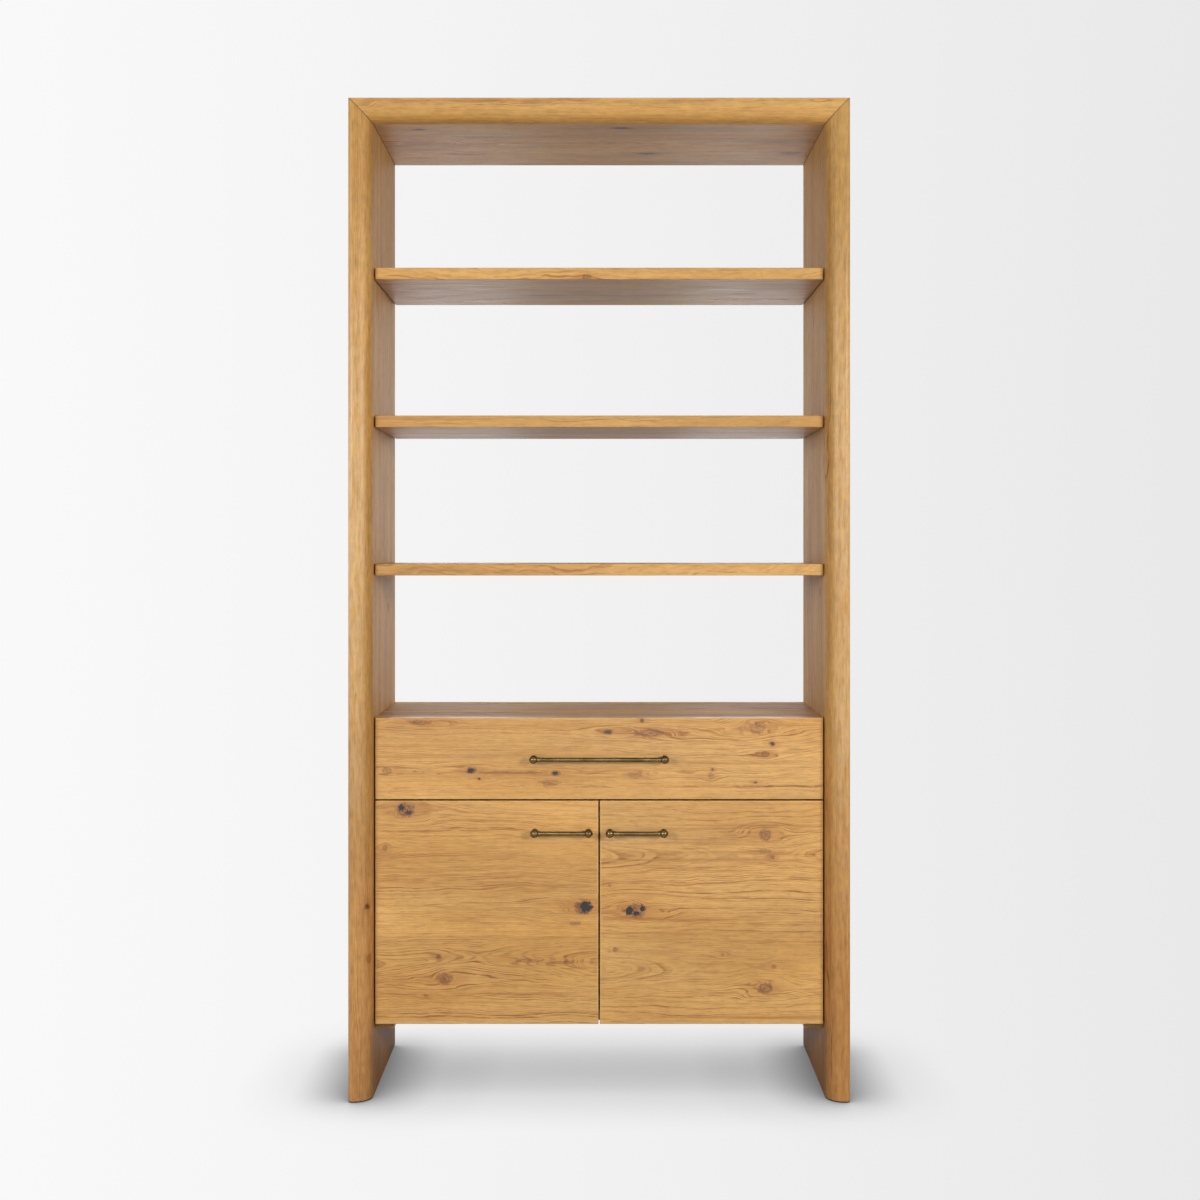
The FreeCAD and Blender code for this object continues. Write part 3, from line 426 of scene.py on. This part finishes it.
def painted_highlight_and_grey_sheen(wood, colour, grey_sheen):
    """A paler front edge, painted as a highlight, and dull grey streaks, painted as a sheen of reflected
    light, on the faces that are turned away from the front.
    """
    graph = wood.graph
    facing = wood.facing()
    # Painted highlight: faces that look to the front are paler
    colour = graph.mix(graph.remap(facing, *FRONT, 0.0, FRONT_PAINTED_HIGHLIGHT), colour, OAK["rim"])
    # Painted reflection: grey sheen on the faces turned away from the front
    dull = graph.math("MULTIPLY", wood.pattern("dull"), graph.remap(facing, *TURNED_AWAY, grey_sheen, 0.0))
    return graph.mix(dull, colour, OAK["grey_sheen"])


def toned(wood, colour, fleck):
    """The planks' own tones, with small flecks and broad lighter and darker stretches."""
    graph = wood.graph
    flecks = graph.math("ADD", wood.pattern("fleck", fleck), 1.0)
    tone = graph.fold("MULTIPLY", [wood.by_plank("tone"), flecks, wood.pattern("shade")])
    return graph.mix(1.0, colour, graph.join(tone, tone, tone), "MULTIPLY")


def rubbed_rim_and_gap_shade(wood, colour, rim):
    """A panel's eased corners, rubbed a little paler than its face, and its darker narrow sides, painted as
    the shade in the gaps between the fronts.
    """
    graph = wood.graph
    low, high = rim
    inside = graph.vector("MINIMUM", graph.vector("SUBTRACT", wood.place, low),
                          graph.vector("SUBTRACT", high, wood.place))
    parts = graph.node("SeparateXYZ", {0: inside}).outputs
    nearest = graph.math("MINIMUM", parts["X"], parts["Z"])
    patches = graph.remap(graph.spots(wood.place, RIM_WAVES, 3.0), *RIM_PATCHES, RIM_LEAST, 1.0)
    corner = graph.fold("MULTIPLY", [graph.remap(nearest, *RIM_REACH, RIM_SHARE, 0.0), patches,
                                     graph.remap(parts["Y"], *RIM_DEPTH, 1.0, 0.0)])
    colour = graph.mix(corner, colour, OAK["rim"])
    # Painted shade: the narrow sides darker, as in the gaps between the fronts
    side = graph.math("MULTIPLY", graph.remap(nearest, *GAP_SHADE_REACH, GAP_SHADE_SHARE, 0.0),
                      graph.remap(parts["Y"], *RIM_DEPTH))
    return graph.mix(side, colour, OAK["heart"])


def mitre_line(wood, colour):
    """The glue line where a side and the top meet at 45 degrees."""
    graph = wood.graph
    _, high = cad_box
    offset = graph.math("SUBTRACT", wood.parts["Z"], graph.math("ABSOLUTE", wood.parts["X"]))
    distance = graph.math("ABSOLUTE", graph.math("SUBTRACT", offset, high[2] - high[0]))
    return graph.mix(graph.remap(distance, *MITRE_WIDTH, MITRE_SHARE, 0.0), colour, OAK["knot"])


def knotted(wood, colour, height, effects):
    """The knots' colours from the outside in, and the height of the surface with their voids."""
    graph = wood.graph
    colour = graph.mix(effects["halo"], colour, OAK["halo"])
    colour = graph.mix(effects["heart"], colour, OAK["heart"])
    speckle = graph.remap(effects["fine"], *BARK_SPECKLE, BARK_LEAST, 1.0)
    colour = graph.mix(graph.math("MULTIPLY", effects["bark"], speckle), colour, OAK["knot"])
    if "void" in effects:
        colour = graph.mix(effects["void"], colour, OAK["void"])
        height = graph.math("SUBTRACT", height, graph.math("MULTIPLY", effects["void"], VOID_DEPTH))
    return colour, height


def painted_light_on_upright(wood, colour, upright):
    """A side panel's painted light: a highlight painted on its front corner, shade painted on its inner half
    under the cabinet, and its lower end painted darker and redder as shade; upright is how far the panel's
    middle lies from the unit's.
    """
    graph, parts = wood.graph, wood.parts
    # Painted highlight: the front corner paler at the middle heights, where the lamps' sheen falls
    painted_highlight = graph.fold("MULTIPLY", [graph.remap(parts["Y"], *PAINTED_HIGHLIGHT_DEPTH, PAINTED_HIGHLIGHT_SHARE, 0.0),
                                     wood.pattern("painted_highlight"),
                                     graph.remap(parts["Z"], *PAINTED_HIGHLIGHT_FROM),
                                     graph.remap(parts["Z"], *PAINTED_HIGHLIGHT_TO, 1.0, 0.0)])
    colour = graph.mix(painted_highlight, colour, OAK["painted_highlight"])
    outwards = graph.math("ABSOLUTE", parts["X"])
    inner = graph.remap(outwards, upright - INNER_BLEND, upright + INNER_BLEND, 1.0, 0.0)
    # Painted shade: the inner half darker below the cabinet, where light hardly reaches
    painted_shade_under_cabinet = graph.fold("MULTIPLY", [graph.remap(wood.facing(), *TURNED_AWAY, PAINTED_SHADE_SHARE, 0.0),
                                        graph.remap(parts["Z"], *PAINTED_SHADE_HEIGHT, 1.0, 0.0), inner])
    colour = graph.mix(painted_shade_under_cabinet, colour, OAK["heart"])
    # Painted shade: darker and redder towards the floor, as the light falls off
    painted_falloff = graph.join(*(graph.remap(parts["Z"], *PAINTED_FALLOFF_HEIGHTS, lowest, 1.0) for lowest in PAINTED_FALLOFF_TINT))
    return graph.mix(1.0, colour, painted_falloff, "MULTIPLY")


def oak(name, grain, planks, knots=(), seed=0.0, face=0.0, spacing=0.0058, figure=1.0,
        fleck=0.06, grey_sheen=0.0, gloss=0.41, shine=0.5, rim=None, upright=None, mitred=False):
    """Solid oak with growth rings that flow round knots, and a satin oil finish.
    face is where the board lies through the grain; rim is a panel's (low, high) corners;
    upright is how far a side panel's middle lies from the unit's."""
    wood = Wood(name, grain, planks, seed)
    graph = wood.graph
    effects = knot_effects(wood, knots) if knots else None
    late, phase = growth_rings(wood, effects, face, spacing, figure)
    colour, pores = grain_colour(wood, late, phase, figure)
    height = graph.math("SUBTRACT", graph.math("MULTIPLY", late, LATE_RISE), pores)
    # Painted highlight on front faces and painted grey sheen on the others
    if grey_sheen:
        colour = painted_highlight_and_grey_sheen(wood, colour, grey_sheen)
    colour = toned(wood, colour, fleck)
    # Rubbed corners, and painted shade on the narrow sides
    if rim:
        colour = rubbed_rim_and_gap_shade(wood, colour, rim)
    if mitred:
        colour = mitre_line(wood, colour)
    if effects:
        colour, height = knotted(wood, colour, height, effects)
    level = gloss
    # Side panels get a painted highlight and painted shade
    if upright:
        colour = painted_light_on_upright(wood, colour, upright)
        level = graph.remap(wood.parts["Y"], *SATIN_DEPTH, SATIN_GLOSS, gloss)
    roughness = graph.math("ADD", level, wood.pattern("patchy"))
    graph.finish({"Base Color": colour, "Roughness": roughness, "Specular IOR Level": shine},
                 bump=(height, *OAK_BUMP))
    return wood.material


# Metals and plastic. Waves are per metre along X, Y and Z.

# Roughness at the two ends of a material's patches, and how far its fine bumps reach, in metres
BRASS_ROUGHNESS = (0.34, 0.22)
ZINC_ROUGHNESS = (0.28, 0.46)
MOULDED_ROUGHNESS = (0.55, 0.72)
FINE_BUMP = 0.0002
# Which scratches show bright brass, and how much of it
BRIGHT_SCRATCHES = (0.55, 0.75)
SCRATCH_SHARE = 0.35


def aged_brass():
    """Dark brass rubbed bright in places, with fine scratches along the bar."""
    material, graph = new_material("aged_brass")
    place = graph.node("TexCoord").outputs["Object"]
    patches = graph.spots(place, waves=(28.0, 60.0, 60.0), detail=3.0)
    scratches = graph.spots(place, waves=(40.0, 900.0, 900.0))
    colour = graph.mix(graph.remap(patches, 0.32, 0.68), BRASS["dark"], BRASS["bright"])
    scratched = graph.remap(scratches, *BRIGHT_SCRATCHES, 0.0, SCRATCH_SHARE)
    colour = graph.mix(scratched, colour, BRASS["scratch"])
    roughness = graph.remap(patches, *MIDDLE_BAND, *BRASS_ROUGHNESS, "LINEAR")
    graph.finish({"Base Color": colour, "Roughness": roughness, "Metallic": 1.0},
                 bump=(scratches, 0.15, FINE_BUMP))
    return material


def zinc_steel():
    """Zinc-plated steel with a faint rolled grain and cloudy dull spots."""
    material, graph = new_material("zinc_steel")
    place = graph.node("TexCoord").outputs["Object"]
    rolled = graph.spots(place, waves=(900.0, 30.0, 900.0))
    spangle = graph.spots(place, waves=(120.0, 120.0, 120.0), detail=3.0)
    colour = graph.mix(graph.remap(spangle, *MIDDLE_BAND), ZINC["dull"], ZINC["bright"])
    roughness = graph.remap(rolled, *MIDDLE_BAND, *ZINC_ROUGHNESS, "LINEAR")
    graph.finish({"Base Color": colour, "Roughness": roughness, "Metallic": 1.0},
                 bump=(rolled, 0.1, FINE_BUMP))
    return material


def moulded(name, colours):
    """Moulded plastic or rubber with a fine texture, scuffed in places."""
    material, graph = new_material(name)
    place = graph.node("TexCoord").outputs["Object"]
    texture = graph.spots(place, waves=(1500.0, 1500.0, 1500.0))
    wear = graph.spots(place, waves=(70.0, 70.0, 70.0), detail=3.0)
    colour = graph.mix(graph.remap(wear, 0.35, 0.7), colours["dark"], colours["worn"])
    roughness = graph.remap(wear, *MIDDLE_BAND, *MOULDED_ROUGHNESS, "LINEAR")
    graph.finish({"Base Color": colour, "Roughness": roughness}, bump=(texture, 0.2, FINE_BUMP))
    return material


# Boards and their finish. Places are in metres along, across and through the grain.

DOOR_LEFT_KNOTS = [
    Knot(-0.4160, 0.6145, 0.0205, 0.0155, 0.75),
    Knot(-0.4240, 0.6196, 0.0110, 0.0120, 0.0, 1.0),
    Knot(-0.4100, 0.6100, 0.0130, 0.0075, 0.0, 0.9),
    Knot(-0.0325, 0.4060, 0.0215, 0.0150, 0.75),
    Knot(-0.0285, 0.4075, 0.0225, 0.0200, 0.0, 1.0),
    Knot(-0.3320, 0.2535, 0.0180, 0.0130, 0.55),
    Knot(-0.3435, 0.3008, 0.0070, 0.0060, 0.60, 0.35),
    Knot(-0.4590, 0.5330, 0.0060, 0.0080, 0.50),
    Knot(-0.0520, 0.3720, 0.0120, 0.0040, 0.50),
    Knot(-0.3710, 0.2170, 0.0050, 0.0040, 0.45),
    Knot(-0.1500, 0.2920, 0.0300, 0.0040, 0.40),
    Knot(-0.0800, 0.2880, 0.0260, 0.0035, 0.40),
]
DOOR_RIGHT_KNOTS = [
    Knot(0.0770, 0.4000, 0.0250, 0.0160, 0.65),
    Knot(0.0645, 0.3985, 0.0160, 0.0150, 0.0, 1.0),
    Knot(0.0790, 0.3935, 0.0140, 0.0075, 0.0, 1.0),
    Knot(0.0935, 0.4034, 0.0105, 0.0130, 0.0, 1.0),
    Knot(0.3565, 0.5617, 0.0150, 0.0128, 0.58),
    Knot(0.3560, 0.5260, 0.0150, 0.0060, 0.40),
    Knot(0.3720, 0.5140, 0.0055, 0.0045, 0.60),
    Knot(0.3560, 0.2330, 0.0160, 0.0125, 0.62),
    Knot(0.3740, 0.2790, 0.0060, 0.0050, 0.50),
    Knot(0.0360, 0.3160, 0.0070, 0.0050, 0.50),
    Knot(0.0220, 0.4540, 0.0050, 0.0040, 0.40),
    Knot(0.2650, 0.3050, 0.0050, 0.0040, 0.40),
]
DRAWER_KNOTS = [
    Knot(-0.275, 0.700, 0.013, 0.008, 0.55, 1.00),
    Knot(-0.257, 0.682, 0.004, 0.003, 0.50, 0.80),
    Knot(-0.094, 0.694, 0.012, 0.006, 0.55, 0.95),
    Knot(-0.105, 0.674, 0.024, 0.006, 0.38),
    Knot(-0.185, 0.695, 0.080, 0.0026, 0.50),
    Knot(0.019, 0.782, 0.012, 0.006, 0.60, 0.75),
    Knot(0.109, 0.780, 0.032, 0.009, 0.58),
    Knot(0.092, 0.807, 0.006, 0.005, 0.60, 0.60),
    Knot(0.371, 0.757, 0.008, 0.006, 0.50, 0.90),
    Knot(0.356, 0.735, 0.010, 0.007, 0.62),
    Knot(0.338, 0.791, 0.020, 0.013, 0.42),
    Knot(0.240, 0.688, 0.007, 0.007, 0.40),
    Knot(0.243, 0.702, 0.003, 0.003, 0.55, 0.60),
    Knot(0.077, 0.690, 0.016, 0.008, 0.28),
    Knot(-0.384, 0.803, 0.022, 0.006, 0.58),
    Knot(-0.455, 0.700, 0.012, 0.007, 0.40),
    Knot(0.385, 0.666, 0.095, 0.0015, 0.62),
    Knot(0.335, 0.674, 0.005, 0.003, 0.60, 0.50),
]
SIDE_LEFT_KNOTS = [
    Knot(1.042, 0.075, 0.014, 0.009, 0.60, 0.40),
    Knot(0.414, -0.190, 0.008, 0.006, 0.60, 0.60),
    Knot(0.302, -0.186, 0.012, 0.006, 0.45),
]
SIDE_RIGHT_KNOTS = [
    Knot(1.081, -0.091, 0.012, 0.009, 0.60, 0.35),
    Knot(0.959, 0.180, 0.014, 0.008, 0.50),
    Knot(1.690, 0.020, 0.016, 0.009, 0.40),
    Knot(1.917, -0.197, 0.005, 0.003, 0.60, 0.50, 0.530),
]
SHELF_KNOTS = {
    "shelf_upper": [
        Knot(-0.026, -0.164, 0.011, 0.008, 0.55, 0.0, 1.757),
        Knot(0.330, 0.030, 0.030, 0.006, 0.50, 0.45),
        Knot(-0.120, 0.060, 0.050, 0.004, 0.55),
    ],
    "shelf_middle": [
        Knot(0.150, -0.020, 0.040, 0.006, 0.45),
        Knot(-0.260, 0.040, 0.030, 0.005, 0.50),
    ],
    "cabinet_top": [
        Knot(-0.280, -0.060, 0.030, 0.010, 0.50, 0.40),
        Knot(0.210, 0.050, 0.040, 0.008, 0.45),
    ],
}
TOP_KNOTS = [
    Knot(-0.491, -0.197, 0.006, 0.003, 0.60, 0.50, 2.126),
    Knot(-0.470, -0.196, 0.004, 0.003, 0.60, 0.50, 2.119),
    Knot(-0.452, -0.192, 0.004, 0.004, 0.60, 0.50, 2.106),
    Knot(0.370, -0.197, 0.004, 0.002, 0.60, 0.50, 2.130),
    Knot(0.394, -0.197, 0.005, 0.002, 0.60, 0.50, 2.127),
    Knot(0.045, -0.138, 0.026, 0.008, 0.80, 1.00),
    Knot(0.110, 0.090, 0.030, 0.010, 0.70, 0.80),
    Knot(-0.390, -0.125, 0.016, 0.008, 0.70, 0.60),
    Knot(0.440, 0.085, 0.030, 0.016, 0.60, 0.50),
    Knot(-0.300, 0.100, 0.060, 0.007, 0.45),
]

DOOR_LEFT_PLANKS = [
    Plank(0.285, -0.29, 0.05, 0.065, tone=0.98, end=0.345, strong=1.2),
    Plank(0.74, -0.30, 0.10, 0.05, tone=1.105, strong=0.8),
]
DOOR_RIGHT_PLANKS = [
    Plank(0.277, 0.30, 0.05, 0.065, tone=1.05, end=0.396),
    Plank(0.515, 0.30, 0.05, 0.065, tone=1.04),
]
DRAWER_PLANKS = [Plank(0.59, 0.1, 0.05, 0.05)]
SIDE_LEFT_PLANKS = [
    Plank(-0.30, 1.0, 0.06, 0.02, tone=0.915, end=-0.03),
    Plank(0.34, 0.8, 0.06, 0.02, tone=0.915),
]
SIDE_RIGHT_PLANKS = [
    Plank(-0.30, 0.9, 0.06, 0.02, tone=0.87, end=0.02),
    Plank(0.36, 1.4, 0.06, 0.02, tone=0.865),
]
TOP_PLANKS = [Plank(0.10, -0.2, 0.20, 0.03, end=-0.03), Plank(0.0, 0.3, 0.12, 0.04)]
BACK_PLANKS = [Plank(0.30, 0.1, end=0.42), Plank(0.55, -0.2)]
# Where the heart of the front plank lies in each board that lies flat
SHELF_HEARTS = {
    "shelf_upper": 0.06,
    "shelf_middle": -0.03,
    "shelf_lower": 0.11,
    "cabinet_top": 0.02,
    "drawer_divider": 0.08,
    "cabinet_bottom": -0.05,
}

DOOR_LOOK = {"spacing": 0.0042, "figure": 1.3}
DRAWER_LOOK = {"spacing": 0.0046, "figure": 1.0}
# Each look's grey share is painted grey sheen on the faces turned away from the front
SIDE_LOOK = {"figure": 0.9, "fleck": 0.11, "grey_sheen": 0.4, "mitred": True}
TOP_LOOK = {"fleck": 0.09, "grey_sheen": 0.6, "gloss": 0.54, "shine": 0.30, "mitred": True}
SHELF_LOOK = {"figure": 1.35, "grey_sheen": 0.6, "gloss": 0.50, "shine": 0.32}
CABINET_TOP_LOOK = {"figure": 1.35, "grey_sheen": 0.3, "gloss": 0.62, "shine": 0.25}


def middle(node, letter):
    low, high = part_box(node)
    return (low[AXIS[letter]] + high[AXIS[letter]]) / 2


def front_face(node):
    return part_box(node)[0][1]


def shelf_planks(order, heart):
    """Two planks for a flat board, other ones for each board in the order."""
    return [Plank(heart, 0.3 - 0.2 * order, 0.10, 0.05, end=-0.02),
            Plank(0.19 - heart, 0.1 * order, 0.08, 0.06, tone=0.98)]


upright = abs(middle("side_panel_left", "X"))
finishes = {
    "door_left": oak("oak_door_left", "door", DOOR_LEFT_PLANKS, DOOR_LEFT_KNOTS, seed=1.0,
                     face=front_face("door_left"), rim=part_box("door_left"), **DOOR_LOOK),
    "door_right": oak("oak_door_right", "door", DOOR_RIGHT_PLANKS, DOOR_RIGHT_KNOTS, seed=2.0,
                      face=front_face("door_right"), rim=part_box("door_right"), **DOOR_LOOK),
    "drawer_front": oak("oak_drawer_front", "door", DRAWER_PLANKS, DRAWER_KNOTS, seed=3.0,
                        face=front_face("drawer_front"), rim=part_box("drawer_front"), **DRAWER_LOOK),
    "side_panel_left": oak("oak_side_left", "upright", SIDE_LEFT_PLANKS, SIDE_LEFT_KNOTS, seed=4.0,
                           gloss=0.565, shine=0.33, upright=upright, **SIDE_LOOK),
    "side_panel_right": oak("oak_side_right", "upright", SIDE_RIGHT_PLANKS, SIDE_RIGHT_KNOTS, seed=5.0,
                            gloss=0.61, shine=0.26, upright=upright, **SIDE_LOOK),
    "top_panel": oak("oak_top", "shelf", TOP_PLANKS, TOP_KNOTS, seed=6.0,
                     face=middle("top_panel", "Z"), **TOP_LOOK),
}
for order, (node, heart) in enumerate(SHELF_HEARTS.items()):
    look = CABINET_TOP_LOOK if node == "cabinet_top" else SHELF_LOOK
    finishes[node] = oak(f"oak_{node}", "shelf", shelf_planks(order, heart), SHELF_KNOTS.get(node, ()),
                         seed=7.0 + order, face=middle(node, "Z"), **look)
finishes["cabinet_back"] = oak("oak_back", "door", BACK_PLANKS, seed=14.0, face=front_face("cabinet_back"))
# The cleats' oak at half tone: painted shade, for the shadow under the doors' bottom edges
rail_oak_painted_shade = oak("oak_rails_painted_shade", "rail", [Plank(0.1, tone=0.5)], seed=15.0)
box_oak = oak("oak_drawer_box", "door", [Plank(0.60, tone=1.06)], seed=16.0, figure=0.7)
box_side_oak = oak("oak_drawer_sides", "rail", [Plank(0.60, tone=1.06)], seed=17.0, figure=0.7)
finishes.update({
    "bottom_cleat_left": rail_oak_painted_shade,
    "bottom_cleat_right": rail_oak_painted_shade,
    "drawer_side_left": box_side_oak,
    "drawer_side_right": box_side_oak,
})
by_slot = {
    "drawer_wood": box_oak,
    "aged_brass": aged_brass(),
    "steel": zinc_steel(),
    "dark_plastic": moulded("dark_plastic", PLASTIC),
    "pad_rubber": moulded("pad_rubber", RUBBER),
}
for row in frame["record"]["subparts"]:
    node = row["node"]
    slots = frame["nodes"][node].data.materials
    slots.clear()
    slots.append(finishes[node] if node in finishes else by_slot[row["material_slot"]])


# Floor, light and camera

# The backdrop's grey to the left and to the right, and how far to the side it changes
BACKDROP_LEFT, BACKDROP_RIGHT = (0.955,) * 3, (0.807,) * 3
BACKDROP_SIDE = 0.37


def studio_world(above, below):
    """A pale backdrop, lighter to the left, for what is seen or mirrored, and a plain level for the light."""
    world = bpy.data.worlds.new("studio")
    world.use_nodes = True
    graph = Graph(world.node_tree)
    direction = graph.node("TexCoord").outputs["Generated"]
    parts = graph.node("SeparateXYZ", {0: direction}).outputs
    across = graph.remap(parts["X"], -BACKDROP_SIDE, BACKDROP_SIDE, step="LINEAR")
    backdrop = graph.mix(across, BACKDROP_LEFT, BACKDROP_RIGHT)
    level = graph.mix(graph.remap(parts["Z"], -0.5, 0.5), (below,) * 3, (above,) * 3)
    rays = graph.node("LightPath").outputs
    kinds = ("Is Camera Ray", "Is Glossy Ray", "Is Transmission Ray")
    seen = graph.math("MINIMUM", graph.fold("ADD", [rays[kind] for kind in kinds]), 1.0)
    background = graph.node("Background", {"Color": graph.mix(seen, level, backdrop)})
    graph.plug(graph.node("OutputWorld").inputs["Surface"], background.outputs[0])
    bpy.context.scene.world = world


def studio_floor(reach, spread, darkest, contact, fade):
    """A pale floor in the backdrop's own colour, shaded where the unit stands over it. It also holds back
    the light from below there. contact is how closed in a place has to be for the deepest shade, and that
    shade."""
    mesh = bpy.data.meshes.new("floor")
    corners = [(-reach, -reach, 0), (reach, -reach, 0), (reach, reach, 0), (-reach, reach, 0)]
    mesh.from_pydata(corners, [], [(0, 1, 2, 3)])
    floor = bpy.data.objects.new("floor", mesh)
    bpy.context.scene.collection.objects.link(floor)
    material, graph = new_material("floor")
    place = graph.node("TexCoord").outputs["Object"]
    open_sky = graph.node("AmbientOcclusion", {"Distance": spread}, samples=32).outputs["AO"]
    close_by = graph.node("AmbientOcclusion", {"Distance": spread / 2}, samples=16).outputs["AO"]
    lowest = graph.math("MULTIPLY", graph.node("LightPath").outputs["Is Camera Ray"], darkest)
    level = graph.remap(open_sky, 0.0, 1.0, lowest, 1.0, "LINEAR")
    closed_in, closed_shade = contact
    level = graph.math("MULTIPLY", level, graph.remap(close_by, closed_in, 1.0, closed_shade, 1.0, "LINEAR"))
    level = graph.math("MAXIMUM", level, graph.remap(graph.vector("LENGTH", place), *fade))
    clear = graph.node("BsdfTransparent", {"Color": graph.join(level, level, level)})
    graph.plug(graph.node("OutputMaterial").inputs["Surface"], clear.outputs[0])
    mesh.materials.append(material)


def soft_box(name, spot, aim, size, power):
    lamp = bpy.data.lights.new(name, "AREA")
    lamp.shape = "RECTANGLE"
    lamp.size, lamp.size_y = size
    lamp.energy = power
    piece = bpy.data.objects.new(name, lamp)
    piece.location = spot
    direction = Vector(aim) - Vector(spot)
    piece.rotation_euler = direction.to_track_quat("-Z", "Y").to_euler()
    piece.visible_camera = False
    bpy.context.scene.collection.objects.link(piece)


studio_world(above=0.17, below=0.22)
studio_floor(reach=6.0, spread=0.27, darkest=0.40, contact=(0.45, 0.35), fade=(1.2, 2.4))
soft_box("key", spot=(0.0, -4.4, 1.27), aim=(0, 0, 1.10), size=(1.4, 1.4), power=39)
for name, side, power in (("left", -1, 63), ("right", 1, 71)):
    soft_box(f"side_{name}", spot=(2.6 * side, -3.2, 1.7), aim=(0, 0, 1.0), size=(0.8, 0.8), power=power)
    soft_box(f"back_{name}", spot=(0.55 * side, 2.6, 1.45), aim=(0.3 * side, 0, 1.4), size=(0.45, 1.3),
             power=5)
    soft_box(f"flank_{name}", spot=(4.0 * side, 0.0, 1.2), aim=(0, 0, 1.2), size=(0.6, 1.2), power=34)
soft_box("overhead", spot=(0.0, 0.4, 4.6), aim=(0, 0.1, 2.1), size=(1.6, 0.6), power=34)

camera_data = bpy.data.cameras.new("camera")
camera_data.sensor_width = 36.0
camera_data.lens = 49.07
camera_data.shift_x = 0.0007
camera_data.shift_y = -0.0405
camera = bpy.data.objects.new("camera", camera_data)
camera.location = (0.0, -3.671, 1.1696)
camera.rotation_euler = (math.radians(90.0), 0.0, 0.0)
bpy.context.scene.collection.objects.link(camera)
bpy.context.scene.camera = camera
bpy.context.scene.view_settings.view_transform = "Standard"
